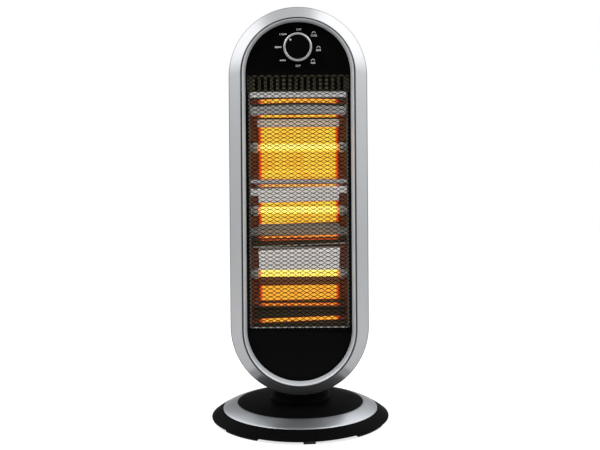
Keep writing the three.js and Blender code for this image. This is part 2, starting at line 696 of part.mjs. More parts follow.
function caseScrew([x, z]) {
  const headY = SCREW_HEAD_Y + GAP;
  const profile = [
    [0, FRAME_BACK_Y - 10],
    [1.7, FRAME_BACK_Y - 10],
    [1.7, headY],
    [3.4, headY],
    [3.4, headY + 2.2],
    [0, headY + 2.2],
  ];
  return turned(profile, SMALL).rotateX(-Math.PI / 2).translate(x, 0, z);
}

piece("neck", neck(), mattBlack);
piece("neck_screw_left", neckScrew(-1), steel);
piece("neck_screw_right", neckScrew(1), steel);
piece("rear_shell", rearShell(), mattBlack);
piece("front_frame", frontFrame(), silver);
piece("trim_ring", trimRing(), chrome);
piece("front_panel", frontPanel(), glossBlack);
screwPlaces.forEach((place, i) => piece("case_screw_" + (i + 1), caseScrew(place), steel));

// ---------------------------------------------------------------- guard, vent plate, reflector
// Expanded-metal guard: staggered diamonds between strands, inside a plain border.
function guardMesh() {
  const halfWide = WINDOW_HALF_WIDE + GUARD_LAP;
  const [low, top] = [WINDOW_LOW_Z - GUARD_LAP, WINDOW_TOP_Z + GUARD_LAP];
  const fieldHalf = WINDOW_HALF_WIDE - GUARD_BORDER;
  const fieldLow = WINDOW_LOW_Z + GUARD_BORDER;
  const stepX = (2 * fieldHalf) / GUARD_GAPS_ACROSS;
  const stepZ = (WINDOW_TOP_Z - GUARD_BORDER - fieldLow) / GUARD_GAPS_UP;
  const [a, b] = [stepX / 2 - GUARD_STRAND, stepZ / 2 - GUARD_STRAND * 0.6];
  const gaps = [];
  for (let row = 0; row < 2 * GUARD_GAPS_UP - 1; row++) {
    const shifted = row % 2 === 1;
    const count = shifted ? GUARD_GAPS_ACROSS - 1 : GUARD_GAPS_ACROSS;
    for (let i = 0; i < count; i++) {
      const x = -fieldHalf + stepX * (i + (shifted ? 1 : 0.5));
      const z = fieldLow + (stepZ / 2) * (row + 1);
      gaps.push([[x - a, z], [x, z - b], [x + a, z], [x, z + b]]);
    }
  }
  return facePlate(rectangle(-halfWide, halfWide, low, top), gaps, GUARD_FRONT_Y, GUARD_BACK_Y);
}

// Outline of an upright slot with rounded ends.
function slotOutline(x, low, top, wide) {
  const r = wide / 2;
  const points = [];
  for (const [z, start] of [[top - r, 0], [low + r, Math.PI]]) {
    for (let i = 0; i <= 4; i++) {
      const a = start + (Math.PI * i) / 4;
      points.push([x + r * Math.cos(a), z + r * Math.sin(a)]);
    }
  }
  return points;
}

function ventPlate() {
  const slotTop = WINDOW_TOP_Z - VENT_SLOT_DROP;
  const halfWide = WINDOW_HALF_WIDE + GUARD_LAP;
  const plate = box(-halfWide, halfWide, STACK_Y, STACK_Y + VENT_THICK, VENT_LOW_Z, WINDOW_TOP_Z + GUARD_LAP);
  const slots = Array.from({ length: VENT_SLOTS }, (_, i) => {
    const x = VENT_SHIFT + (i - (VENT_SLOTS - 1) / 2) * VENT_PITCH;
    const outline = slotOutline(x, slotTop - VENT_SLOT_HIGH, slotTop, VENT_SLOT_WIDE);
    return facePlate(outline, [], STACK_Y - 1, STACK_Y + VENT_THICK + 1);
  });
  return cut(plate, ...slots);
}

// Front face of the reflector as [y, z], from its top edge to its bottom edge.
function reflectorLine() {
  const lipY = REFLECTOR_BACK_Y - TROUGH_DEEP;
  const points = [[STACK_Y, VENT_LOW_Z - GAP], [STACK_Y, VENT_LOW_Z - GAP - TOP_FLANGE_HIGH]];
  const ridge = (z) => {
    for (const t of [-1, 0, 1]) {
      points.push([lipY - RIDGE_NOSE * (1 - t * t), z - (t * (LAMP_PITCH / 2 - TROUGH_HALF)) / 1.4]);
    }
  };
  for (const lampZ of LAMP_ZS) {
    ridge(lampZ + LAMP_PITCH / 2);
    for (const t of radii(1, -1, 14)) {
      points.push([REFLECTOR_BACK_Y - TROUGH_DEEP * Math.abs(t) ** TROUGH_POWER, lampZ + t * TROUGH_HALF]);
    }
  }
  ridge(LAMP_ZS.at(-1) - LAMP_PITCH / 2);
  points.push([STACK_Y, WINDOW_LOW_Z + LOW_FLANGE_HIGH], [STACK_Y, WINDOW_LOW_Z - LOW_FLANGE_HIGH]);
  return points;
}

// The sheet's back face: each point of the front line set back square to the line.
function setBack(line, thick) {
  return line.map(([y, z], i) => {
    const [y0, z0] = line[Math.max(i - 1, 0)];
    const [y1, z1] = line[Math.min(i + 1, line.length - 1)];
    const long = Math.hypot(y1 - y0, z1 - z0);
    return [y + (thick * (z0 - z1)) / long, z + (thick * (y1 - y0)) / long];
  });
}

// Half width of the reflector's inside at a depth.
const flareX = (y) =>
  REFLECTOR_HALF_WIDE + (REFLECTOR_FLARE * (REFLECTOR_BACK_Y - y)) / (REFLECTOR_BACK_Y - STACK_Y);

function reflector() {
  const front = reflectorLine();
  const back = setBack(front, SHEET).reverse();
  const shape = new THREE.Shape([...front, ...back].map(([y, z]) => new THREE.Vector2(y, z)));
  const sheet = new THREE.ExtrudeGeometry(shape, { depth: 160, bevelEnabled: false });
  // Shape x is world y, shape y is world z, and the depth is world x.
  sheet.applyMatrix4(new THREE.Matrix4().set(0, 0, 1, -80, 1, 0, 0, 0, 0, 1, 0, 0, 0, 0, 0, 1));
  const [y0, y1] = [STACK_Y - 1, REFLECTOR_BACK_Y + 5];
  const wedge = new THREE.Shape();
  wedge.moveTo(-flareX(y0) + GAP, y0);
  wedge.lineTo(flareX(y0) - GAP, y0);
  wedge.lineTo(flareX(y1) - GAP, y1);
  wedge.lineTo(-flareX(y1) + GAP, y1);
  const prism = new THREE.ExtrudeGeometry(wedge, { depth: TOWER_STRAIGHT + 60, bevelEnabled: false })
    .translate(0, 0, LOW_CENTRE_Z - 30);
  return common(sheet, prism);
}

function reflectorSide(side) {
  const [y0, y1] = [STACK_Y, REFLECTOR_BACK_Y + SHEET];
  const outline = [
    [flareX(y0), y0],
    [WINDOW_HALF_WIDE + GAP, y0],
    [WINDOW_HALF_WIDE + GAP, y0 + SHEET],
    [flareX(y0) + SHEET, y0 + SHEET],
    [flareX(y1) + SHEET, y1],
    [flareX(y1), y1],
  ];
  const shape = new THREE.Shape(outline.map(([x, y]) => new THREE.Vector2(x, y)));
  const foot = WINDOW_LOW_Z - LOW_FLANGE_HIGH;
  const wall = new THREE.ExtrudeGeometry(shape, { depth: VENT_LOW_Z - GAP - foot, bevelEnabled: false })
    .translate(0, 0, foot);
  // Each lamp is put in from the front, through a notch that ends round its caps.
  const roundR = CAP_R + 2 * GAP;
  const holes = LAMP_ZS.map((z) =>
    turnedAlongX([[0, CAP_IN_X], [roundR, CAP_IN_X], [roundR, LEAD_OUT_X], [0, LEAD_OUT_X]], MEDIUM)
      .translate(0, LAMP_Y, z));
  const notches = LAMP_ZS.map((z) =>
    box(CAP_IN_X, LEAD_OUT_X, y0 + SHEET + NOTCH_EDGE, LAMP_Y, z - roundR, z + roundR));
  const right = cut(wall, ...holes, ...notches);
  return side > 0 ? right : closed(right.clone().scale(-1, 1, 1));
}

piece("guard_mesh", guardMesh(), guardMetal);
piece("vent_plate", ventPlate(), guardMetal);
piece("reflector", reflector(), mirrorSheet);
piece("reflector_side_left", reflectorSide(-1), mirrorSheet);
piece("reflector_side_right", reflectorSide(1), mirrorSheet);

// ---------------------------------------------------------------- lamps
const quartzTube = () =>
  turnedAlongX(
    ringProfile([
      [QUARTZ_BORE_R, -QUARTZ_HALF],
      [QUARTZ_R, -QUARTZ_HALF],
      [QUARTZ_R, QUARTZ_HALF],
      [QUARTZ_BORE_R, QUARTZ_HALF],
    ]),
    16,
  );
// The coil hangs between thin leads that run out through the caps.
const filament = () =>
  turnedAlongX(
    [
      [0, -LEAD_OUT_X],
      [LEAD_R, -LEAD_OUT_X],
      [LEAD_R, -CAP_IN_X],
      [COIL_R, 2 - CAP_IN_X],
      [COIL_R, CAP_IN_X - 2],
      [LEAD_R, CAP_IN_X],
      [LEAD_R, LEAD_OUT_X],
      [0, LEAD_OUT_X],
    ],
    8,
  );
const endCap = () => {
  const bore = QUARTZ_R + GAP;
  const seat = QUARTZ_HALF + GAP;
  return turnedAlongX(
    ringProfile([
      [bore, CAP_IN_X],
      [CAP_R, CAP_IN_X],
      [CAP_R, CAP_OUT_X],
      [LEAD_R + GAP, CAP_OUT_X],
      [LEAD_R + GAP, seat],
      [bore, seat],
    ]),
    16,
  );
};
LAMP_ZS.forEach((z, i) => {
  const n = i + 1;
  piece("quartz_tube_" + n, quartzTube().translate(0, LAMP_Y, z), quartz);
  piece("filament_" + n, filament().translate(0, LAMP_Y, z), tungsten);
  piece("end_cap_left_" + n, closed(endCap().scale(-1, 1, 1)).translate(0, LAMP_Y, z), ceramic);
  piece("end_cap_right_" + n, endCap().translate(0, LAMP_Y, z), ceramic);
});

// ---------------------------------------------------------------- control and wiring
const knobFootY = PANEL_FACE_Y - GAP;
const switchFrontY = PANEL_BACK_Y + GAP;
const SWITCH_BACK_Y = -33;
piece(
  "rotary_switch",
  join(
    box(-14, 14, switchFrontY, SWITCH_BACK_Y, KNOB_Z - 13, KNOB_Z + 13),
    rodForward(SHAFT_R, knobFootY - KNOB_HIGH + 4, switchFrontY + 2, SMALL).translate(0, 0, KNOB_Z),
    box(-9, -6, SWITCH_BACK_Y - 1, SWITCH_BACK_Y + 5, KNOB_Z - 4, KNOB_Z + 4),
    box(6, 9, SWITCH_BACK_Y - 1, SWITCH_BACK_Y + 5, KNOB_Z - 4, KNOB_Z + 4),
  ),
  acetal,
);

// The knob is a turned cup whose face is sunk inside the bright ring.
function knobBody() {
  const bore = SHAFT_R + GAP;
  const faceR = KNOB_R - KNOB_RING_WIDE;
  const profile = [
    [0, KNOB_HIGH - 1.5],
    [faceR, KNOB_HIGH - 1.5],
    [KNOB_R - 0.6, KNOB_HIGH - 3],
    [KNOB_R, 0],
    [bore, 0],
    [bore, KNOB_HIGH - 3.7],
    [0, KNOB_HIGH - 3.7],
  ];
  return turned(profile, KNOB_SIDES).rotateX(Math.PI / 2).translate(0, knobFootY, KNOB_Z);
}
function knobRing() {
  const inner = KNOB_R - KNOB_RING_WIDE + GAP;
  const profile = ringProfile([
    [inner, KNOB_HIGH - 1.1],
    [inner, KNOB_HIGH],
    [KNOB_R - 1, KNOB_HIGH],
    [KNOB_R, KNOB_HIGH - 0.9],
    [KNOB_R, KNOB_HIGH - 2.6],
  ]);
  return turned(profile, KNOB_SIDES).rotateX(Math.PI / 2).translate(0, knobFootY, KNOB_Z);
}
function knobPointer() {
  const [inR, outR, half] = [12.4, 15.6, 1.6];
  const corners = [new THREE.Vector2(-half, inR), new THREE.Vector2(half, inR), new THREE.Vector2(0, outR)];
  const mark = new THREE.Shape(corners);
  const face = knobFootY - KNOB_HIGH + 1.5 - GAP;
  return new THREE.ExtrudeGeometry(mark, { depth: 0.5, bevelEnabled: false })
    .rotateZ(rad(POINTER_ANGLE))
    .rotateX(Math.PI / 2)
    .translate(0, face, KNOB_Z);
}
piece("knob", knobBody(), glossBlack);
piece("knob_ring", knobRing(), chrome);
piece("knob_pointer", knobPointer(), printWhite);

// Overheat cut-out on the back of the reflector, behind the top lamp
const cutoutFrontY = REFLECTOR_BACK_Y + SHEET + GAP;
piece(
  "thermal_cutout",
  join(
    rodForward(8, cutoutFrontY, cutoutFrontY + 6, 16),
    box(-12, 12, cutoutFrontY + 2, cutoutFrontY + 3.2, -3.5, 3.5),
  ).translate(24, 0, LAMP_ZS[0]),
  acetal,
);

const wireX = LEAD_OUT_X + GAP + WIRE_R;
for (const [name, side] of [["lamp_wire_left", -1], ["lamp_wire_right", 1]]) {
  const route = [
    [side * 7.5, SWITCH_BACK_Y + 5.6, KNOB_Z],
    [side * 7.6, SWITCH_BACK_Y + 10, KNOB_Z],
    [side * 14, SWITCH_BACK_Y + 16, KNOB_Z - 8],
    [side * 42, SWITCH_BACK_Y + 14, KNOB_Z - 30],
    [side * wireX, LAMP_Y + 12, KNOB_Z - 70],
    [side * wireX, LAMP_Y, LAMP_ZS[0] + 35],
    ...LAMP_ZS.map((z) => [side * wireX, LAMP_Y, z]),
    [side * wireX, LAMP_Y, LAMP_ZS.at(-1) - 8],
  ];
  piece(name, wire(route, WIRE_R, 40, 6), insulation);
}
const SUPPLY_R = 2.3;
piece(
  "supply_lead",
  wire(
    [
      [0, 0, SPIGOT_LOW_Z + 0.5],
      [0, 0, 70],
      [0, 12, LOW_CENTRE_Z - 30],
      [0, 16, LOW_CENTRE_Z + 20],
      [0, 16, TOP_CENTRE_Z - 28],
      [0, 0, KNOB_Z - 30],
      [0, SWITCH_BACK_Y + 18, KNOB_Z - 6],
      [0, SWITCH_BACK_Y + 8, KNOB_Z - 0.2],
      [0, SWITCH_BACK_Y + GAP, KNOB_Z],
    ],
    SUPPLY_R,
    38,
  ),
  insulation,
);
const LEAD_Z = PLATE_TOP_Z + GAP + SUPPLY_R + 0.4;
piece(
  "base_lead",
  wire(
    [
      [0, GLAND_IN_Y - GAP, GLAND_Z],
      [0, GLAND_IN_Y - 14, GLAND_Z],
      [0, 70, LEAD_Z],
      [0, 16, LEAD_Z],
      [0, 5, LEAD_Z + 0.6],
      [0, 0.6, LEAD_Z + 3.4],
      [0, 0, SPIGOT_LOW_Z - 2],
      [0, 0, SPIGOT_LOW_Z - 0.4],
    ],
    SUPPLY_R,
    26,
  ),
  insulation,
);

export default heater;
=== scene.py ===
# Oscillating halogen tower heater with its three lamps lit. Metres, in the frame of the packed
# model: the origin is on the floor under the swing axis, and the front faces -Y. The sections
# follow the heater as it is put together, from its feet up to the knob. Sizes are in mm, and
# places inside a material in metres.
import math

import bpy
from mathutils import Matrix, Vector


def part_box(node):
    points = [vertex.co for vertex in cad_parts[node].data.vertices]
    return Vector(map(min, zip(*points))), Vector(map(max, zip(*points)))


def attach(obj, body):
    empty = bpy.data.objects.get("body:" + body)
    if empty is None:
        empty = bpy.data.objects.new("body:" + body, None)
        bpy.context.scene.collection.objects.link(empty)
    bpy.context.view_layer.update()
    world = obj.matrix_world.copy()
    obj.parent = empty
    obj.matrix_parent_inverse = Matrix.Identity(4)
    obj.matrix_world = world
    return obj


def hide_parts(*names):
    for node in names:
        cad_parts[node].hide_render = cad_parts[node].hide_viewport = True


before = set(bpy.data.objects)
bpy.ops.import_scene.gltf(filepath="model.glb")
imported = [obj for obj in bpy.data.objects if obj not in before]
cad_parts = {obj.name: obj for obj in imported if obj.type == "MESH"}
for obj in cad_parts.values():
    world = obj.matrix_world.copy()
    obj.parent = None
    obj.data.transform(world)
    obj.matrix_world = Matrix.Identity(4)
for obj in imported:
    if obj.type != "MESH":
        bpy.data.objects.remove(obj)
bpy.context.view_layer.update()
mm = 0.001


# ---------------------------------------------------------------- camera
# A long lens, low in front of the heater, as in the photograph. The lens is shifted down a little
# so that the sides of the tower stay upright.
CAMERA_AWAY = 1.1028
camera = bpy.data.objects.new("camera", bpy.data.cameras.new("camera"))
bpy.context.scene.collection.objects.link(camera)
bpy.context.scene.camera = camera
camera.data.lens = 44.63
camera.data.sensor_width = 36
camera.data.shift_x = 0.002
camera.data.shift_y = -0.0417
camera.location = (0, -CAMERA_AWAY, 0.3254)
camera.rotation_euler = (math.radians(89.776), math.radians(0.423), 0)


# ---------------------------------------------------------------- base cover
# Shallow black dome, injection-moulded in ABS with a fine satin skin, with a sunk seat for the
# silver ring. Four screws from below hold it to the base plate.
def draw_chain(points, closed=False):
    """A chain of edges through points in mm, drawn by extruding one vertex. Edit mode stays on."""
    points = [Vector(p) * mm for p in points]
    bpy.ops.object.select_all(action="DESELECT")
    bpy.ops.mesh.primitive_plane_add(size=mm, location=points[0])
    bpy.ops.object.transform_apply(location=True, rotation=True, scale=True)
    bpy.ops.object.mode_set(mode="EDIT")
    bpy.context.tool_settings.mesh_select_mode = (True, False, False)
    bpy.ops.mesh.merge(type="CENTER")
    onward = points[1:] + points[:1] if closed else points[1:]
    for here, there in zip(points, onward):
        bpy.ops.mesh.extrude_region_move(TRANSFORM_OT_translate={"value": there - here})
    bpy.ops.mesh.select_all(action="SELECT")
    bpy.ops.mesh.remove_doubles(threshold=1e-7)


def close_up():
    """Merges doubles, turns every face outwards and leaves edit mode."""
    bpy.ops.mesh.select_all(action="SELECT")
    bpy.ops.mesh.remove_doubles(threshold=1e-6)
    bpy.ops.mesh.normals_make_consistent(inside=False)
    bpy.ops.object.mode_set(mode="OBJECT")
    return bpy.context.object


def turn(profile, axis="Z", centre=(0, 0, 0), steps=96, closed=True):
    """A profile of [radius, distance along the axis] spun about the axis. Y counts to the front."""
    along = Vector({"X": (1, 0, 0), "Y": (0, -1, 0), "Z": (0, 0, 1)}[axis])
    out = Vector((0, 0, 1)) if axis == "X" else Vector((1, 0, 0))
    draw_chain([Vector(centre) + out * r + along * h for r, h in profile], closed)
    bpy.ops.mesh.spin(
        steps=steps, angle=math.tau, center=Vector(centre) * mm, axis=along, use_auto_merge=True)
    return close_up()


def finish_shape(piece, name, material, bevel=0.0, smooth_angle=35):
    """Rounds the piece's edges, smooths it, names it and gives it its material."""
    if bevel:
        rounding = piece.modifiers.new("rounding", "BEVEL")
        rounding.width = bevel * mm
        rounding.segments = 2
        rounding.limit_method = "ANGLE"
        rounding.angle_limit = math.radians(30)
        bpy.ops.object.modifier_apply(modifier="rounding")
    bpy.ops.object.shade_smooth_by_angle(angle=math.radians(smooth_angle))
    piece.name = piece.data.name = name
    piece.data.materials.clear()
    piece.data.materials.append(material)
    return piece


def add_node(tree, kind, put={}, **settings):
    """A shader node. The dictionary put fills its inputs, with values or other nodes' outputs."""
    made = tree.nodes.new("ShaderNode" + kind)
    for key, value in settings.items():
        setattr(made, key, value)
    for key, value in put.items():
        if isinstance(value, bpy.types.NodeSocket):
            tree.links.new(value, made.inputs[key])
        else:
            made.inputs[key].default_value = value
    return made


def calculate(tree, operation, *values, clamp=False):
    """The result of one step of arithmetic on values or outputs."""
    put = dict(enumerate(values))
    return add_node(tree, "Math", put, operation=operation, use_clamp=clamp).outputs[0]


def graded(tree, value, start, end, low=0.0, high=1.0, smooth=False):
    """A value that goes from low to high as the given one goes from start to end, and stays there."""
    return add_node(tree, "MapRange", {0: value, 1: start, 2: end, 3: low, 4: high},
                    interpolation_type="SMOOTHSTEP" if smooth else "LINEAR").outputs[0]


def mixed(tree, share, first, second, **settings):
    """The first colour, with a share of the second mixed in."""
    put = {0: share, 6: first, 7: second}
    return add_node(tree, "Mix", put, data_type="RGBA", **settings).outputs[2]


def noise(tree, place, scale, detail, roughness=0.5):
    """A noise between 0 and 1."""
    return add_node(tree, "TexNoise", {"Vector": place, "Scale": scale, "Detail": detail,
                                       "Roughness": roughness}).outputs[0]


def place_on_piece(tree):
    """The place on the piece, whole and as its X, Y and Z."""
    place = add_node(tree, "TexCoord").outputs["Object"]
    return place, add_node(tree, "SeparateXYZ", {0: place}).outputs


def new_group(name, takes, gives):
    """An empty shader node group with its sockets, and its input and output nodes."""
    tree = bpy.data.node_groups.new(name, "ShaderNodeTree")
    for label, kind, value in takes:
        socket = tree.interface.new_socket(label, in_out="INPUT", socket_type="NodeSocket" + kind)
        socket.default_value = value
    for label, kind in gives:
        tree.interface.new_socket(label, in_out="OUTPUT", socket_type="NodeSocket" + kind)
    return tree, tree.nodes.new("NodeGroupInput").outputs, tree.nodes.new("NodeGroupOutput").inputs


def new_material(name, **plain):
    """A material with its shader, and plain values on the shader's own sockets."""
    made = bpy.data.materials.new(name)
    made.use_nodes = True
    shader = made.node_tree.nodes["Principled BSDF"]
    for label, value in plain.items():
        shader.inputs[label.replace("_", " ")].default_value = value
    return made, made.node_tree, shader


def lay_on(tree, shader, surface, depth):
    """Puts a surface group's colour, roughness and relief on a shader."""
    bump = add_node(tree, "Bump", {"Height": surface["Height"], "Strength": depth, "Distance": 0.0001})
    tree.links.new(surface["Colour"], shader.inputs["Base Color"])
    tree.links.new(surface["Roughness"], shader.inputs["Roughness"])
    tree.links.new(bump.outputs[0], shader.inputs["Normal"])


# The skin that a mould leaves on plastic: a fine grain, faint rubbed patches and a trace of dust.
SURFACE_GIVES = [("Colour", "Color"), ("Roughness", "Float"), ("Height", "Float")]
skin, skin_in, skin_out = new_group(
    "moulded_skin",
    [("Colour", "Color", (0, 0, 0, 1)), ("Dust", "Color", (0.1, 0.1, 0.1, 1)),
     ("Dustiness", "Float", 0.2), ("Roughness", "Float", 0.3), ("Rubbing", "Float", 0.1),
     ("Grain Size", "Float", 0.4)], SURFACE_GIVES)
place, _ = place_on_piece(skin)
grain = noise(skin, place, calculate(skin, "DIVIDE", 1000.0, skin_in["Grain Size"]), 2.0, 0.6)
rubbed = graded(skin, noise(skin, place, 22.0, 5.0, 0.62), 0.3, 0.7, -0.5, 0.5)
settled = graded(skin, noise(skin, place, 410.0, 3.0, 0.7), 0.45, 0.8)
dusty = calculate(skin, "MULTIPLY", settled, skin_in["Dustiness"])
rubbing = calculate(skin, "MULTIPLY_ADD", rubbed, skin_in["Rubbing"], skin_in["Roughness"])
skin.links.new(mixed(skin, dusty, skin_in["Colour"], skin_in["Dust"]), skin_out["Colour"])
skin.links.new(rubbing, skin_out["Roughness"])
skin.links.new(grain, skin_out["Height"])


def moulded(name, colour, dust, dustiness, roughness, rubbing, grain, depth, **plain):
    """A moulded plastic. Its grain is grain mm wide and shows as a bump of the given depth."""
    made, tree, shader = new_material(name, **plain)
    lay_on(tree, shader, add_node(tree, "Group", {
        "Colour": (*colour, 1), "Dust": (*dust, 1), "Dustiness": dustiness, "Roughness": roughness,
        "Rubbing": rubbing, "Grain Size": grain}, node_tree=skin).outputs, depth)
    return made


satin_black = moulded(
    "satin_black_abs", (0.0022, 0.0022, 0.0025), (0.012, 0.012, 0.013), dustiness=0.35, roughness=0.46,
    rubbing=0.14, grain=0.5, depth=0.5, Specular_IOR_Level=0.008)

BASE_R = 130
DOME_TOP = 28.5
DOME_FLAT_R = 44
DOME_FALL = 23
DOME_POWER = 2.78
COVER_WALL = 2.6
COVER_FOOT = 4.8
RING_OUT_R = 113.5
RING_IN_R = 92.6
RING_SEAT = 1.8
RING_PLAY = 0.3


def dome_height(r):
    """Height of the dome's surface: flat in the middle, then ever steeper down to the rim."""
    return DOME_TOP - DOME_FALL * max(0, (r - DOME_FLAT_R) / (BASE_R - DOME_FLAT_R)) ** DOME_POWER


def spread(start, end, count):
    return [start + (end - start) * i / (count - 1) for i in range(count)]


outside = (
    [(16.5, 27.4), (39.8, 27.4), (39.8, DOME_TOP)]
    + [(r, dome_height(r)) for r in spread(DOME_FLAT_R, RING_IN_R - RING_PLAY, 10)]
    + [(r, dome_height(r) - RING_SEAT)
       for r in spread(RING_IN_R - RING_PLAY, RING_OUT_R + RING_PLAY, 6)]
    + [(r, dome_height(r)) for r in spread(RING_OUT_R + RING_PLAY, BASE_R, 8)]
    + [(BASE_R, COVER_FOOT), (BASE_R - COVER_WALL, COVER_FOOT)])
inside = (
    [(r, max(dome_height(r) - RING_SEAT - COVER_WALL, COVER_FOOT + 0.2))
     for r in spread(BASE_R - COVER_WALL, RING_IN_R - 3, 8)]
    + [(r, dome_height(r) - COVER_WALL) for r in spread(RING_IN_R - 8, DOME_FLAT_R, 5)]
    + [(42, 24.4), (16.5, 24.4)])
base_cover = turn(outside + inside, steps=144)
base_cover = finish_shape(base_cover, "base_cover_shell", satin_black, bevel=0.35)
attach(base_cover, "base")
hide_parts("base_cover")


# ---------------------------------------------------------------- base trim ring
# Silver-painted ABS ring pressed into the dome's seat, standing a hair proud of it.
RING_PROUD = 0.3
RING_BELOW = 1.5
ring_paint = moulded(
    "ring_paint", (0.34, 0.355, 0.375), (0.4, 0.4, 0.41), dustiness=0.1, roughness=0.32, rubbing=0.02,
    grain=0.25, depth=0.03, Metallic=0.85)
ring_profile = (
    [(r, dome_height(r) + RING_PROUD) for r in spread(RING_IN_R, RING_OUT_R, 8)]
    + [(r, dome_height(r) - RING_BELOW) for r in spread(RING_OUT_R, RING_IN_R, 5)])
base_ring = finish_shape(turn(ring_profile, steps=144), "base_ring", ring_paint, bevel=0.3)
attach(base_ring, "base")
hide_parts("base_trim_ring")


# ---------------------------------------------------------------- base plate, feet and cord gland
# Black plate that closes the base, on four long rubber pads. Each pad is grooved along its sole. A
# moulded stub at the front and at the back of the plate ends just above the floor.
matt_black = moulded(
    "matt_black_abs", (0.008, 0.008, 0.0085), (0.035, 0.035, 0.035), dustiness=0.35, roughness=0.46,
    rubbing=0.14, grain=0.7, depth=0.9, Specular_IOR_Level=0.3)
rubber = moulded(
    "foot_rubber", (0.012, 0.012, 0.012), (0.09, 0.085, 0.08), dustiness=0.5, roughness=0.82,
    rubbing=0.1, grain=0.5, depth=0.8, Specular_IOR_Level=0.2)


def dress(nodes, material):
    """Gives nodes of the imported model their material."""
    for node in nodes:
        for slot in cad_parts[node].material_slots:
            slot.material = material


dress(["base_plate", "cord_gland", "tip_switch_plunger"], matt_black)

FOOT_ANGLES = (47, 133, 227, 313)
FOOT_TURN = 5.5
FOOT_HALF_SPAN = 13.6
FOOT_SECTION = [(113.3, 2.9), (113.3, 0.6), (114, 0), (117.5, 0), (118, 0.5), (121, 0.5), (121.5, 0),
                (125.4, 0), (126.2, 0.6), (126.4, 2.9)]
for number, foot_angle in enumerate(FOOT_ANGLES, 1):
    low, high = (math.radians(foot_angle + FOOT_TURN - 90 + side * FOOT_HALF_SPAN) for side in (-1, 1))
    draw_chain([(r * math.cos(low), r * math.sin(low), h) for r, h in FOOT_SECTION], closed=True)
    bpy.ops.mesh.edge_face_add()
    bpy.ops.mesh.spin(steps=18, angle=low - high, center=(0, 0, 0), axis=(0, 0, 1))
    pad = finish_shape(close_up(), f"foot_rubber_{number}", rubber, bevel=0.25)
    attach(pad, "base")
    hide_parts(f"foot_pad_{number}")


# ---------------------------------------------------------------- screws, swing drive and tip switch
# Zinc-plated screws and steel drive parts; the switches and the swivel's washer are cream acetal.
# The group gives rolled or drawn metal: fine lines along one direction, and clouds of stain.
plating, plating_in, plating_out = new_group(
    "rolled_metal",
    [("Colour", "Color", (0.5, 0.5, 0.5, 1)), ("Stain", "Color", (0.3, 0.25, 0.2, 1)),
     ("Staining", "Float", 0.3), ("Roughness", "Float", 0.3), ("Stretch", "Vector", (1, 1, 1))],
    SURFACE_GIVES)
place, _ = place_on_piece(plating)
drawn = add_node(plating, "VectorMath", {0: place, 1: plating_in["Stretch"]}, operation="MULTIPLY")
lines = noise(plating, drawn.outputs[0], 900.0, 3.0, 0.55)
stained = graded(plating, noise(plating, place, 38.0, 4.0, 0.6), 0.4, 0.75)
staining = calculate(plating, "MULTIPLY", stained, plating_in["Staining"])
metal_tone = mixed(plating, staining, plating_in["Colour"], plating_in["Stain"])
worn = calculate(plating, "MULTIPLY_ADD", lines, 0.16, plating_in["Roughness"])
plating.links.new(metal_tone, plating_out["Colour"])
plating.links.new(worn, plating_out["Roughness"])
plating.links.new(lines, plating_out["Height"])


def add_metal(tree, colour, stain, staining, roughness, stretch):
    """The rolled metal's outputs. Its lines run where stretch is smallest."""
    return add_node(tree, "Group", {
        "Colour": (*colour, 1), "Stain": (*stain, 1), "Staining": staining, "Roughness": roughness,
        "Stretch": stretch}, node_tree=plating).outputs


def rolled(name, colour, stain, staining, roughness, stretch, depth, **plain):
    """A sheet or bar metal, its lines a bump of the given depth."""
    made, tree, shader = new_material(name, **plain)
    lay_on(tree, shader, add_metal(tree, colour, stain, staining, roughness, stretch), depth)
    return made


zinc = rolled("zinc_steel", (0.42, 0.42, 0.40), (0.30, 0.27, 0.2), staining=0.5, roughness=0.28,
              stretch=(1, 0.15, 1), depth=0.4, Metallic=1.0)
acetal = moulded("cream_acetal", (0.72, 0.69, 0.6), (0.5, 0.47, 0.4), dustiness=0.25, roughness=0.36,
                 rubbing=0.1, grain=0.4, depth=0.3)
dress([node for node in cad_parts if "screw" in node], zinc)
dress(["swing_motor", "swing_crank", "swing_arm", "swivel_retainer"], zinc)
dress(["tip_switch", "swivel_washer", "rotary_switch", "thermal_cutout"], acetal)


# ---------------------------------------------------------------- wiring
# Braided glass-fibre sleeving over the lamp wires and the two leads, dyed brick red. Its weave is
# two sets of stripes that cross.
sleeve, sleeve_tree, sleeve_shader = new_material("braided_sleeve", Specular_IOR_Level=0.25)
place, _ = place_on_piece(sleeve_tree)
stripes = [add_node(sleeve_tree, "TexWave", {"Vector": place, "Scale": 260.0, "Distortion": 1.2},
                    bands_direction=way).outputs[1] for way in ("DIAGONAL", "Z")]
woven = calculate(sleeve_tree, "MULTIPLY", *stripes)
sleeve_bump = add_node(sleeve_tree, "Bump", {"Height": woven, "Strength": 0.6, "Distance": 0.0003})
sleeve_tree.links.new(mixed(sleeve_tree, woven, (0.02, 0.005, 0.004, 1), (0.06, 0.012, 0.008, 1)),
                      sleeve_shader.inputs["Base Color"])
sleeve_tree.links.new(graded(sleeve_tree, woven, 0.0, 1.0, 0.8, 0.55),
                      sleeve_shader.inputs["Roughness"])
sleeve_tree.links.new(sleeve_bump.outputs[0], sleeve_shader.inputs["Normal"])
dress(["lamp_wire_left", "lamp_wire_right", "supply_lead", "base_lead"], sleeve)


# ---------------------------------------------------------------- rear shell
# Deep black ABS tub that the tower's works hang in. It has a carrying grip sunk in its back, two
# banks of vent slots and four screw channels, and screws to the front frame.
LOW_CENTRE = 140.7
TOP_CENTRE = 498.0
HALF_STEPS = 48


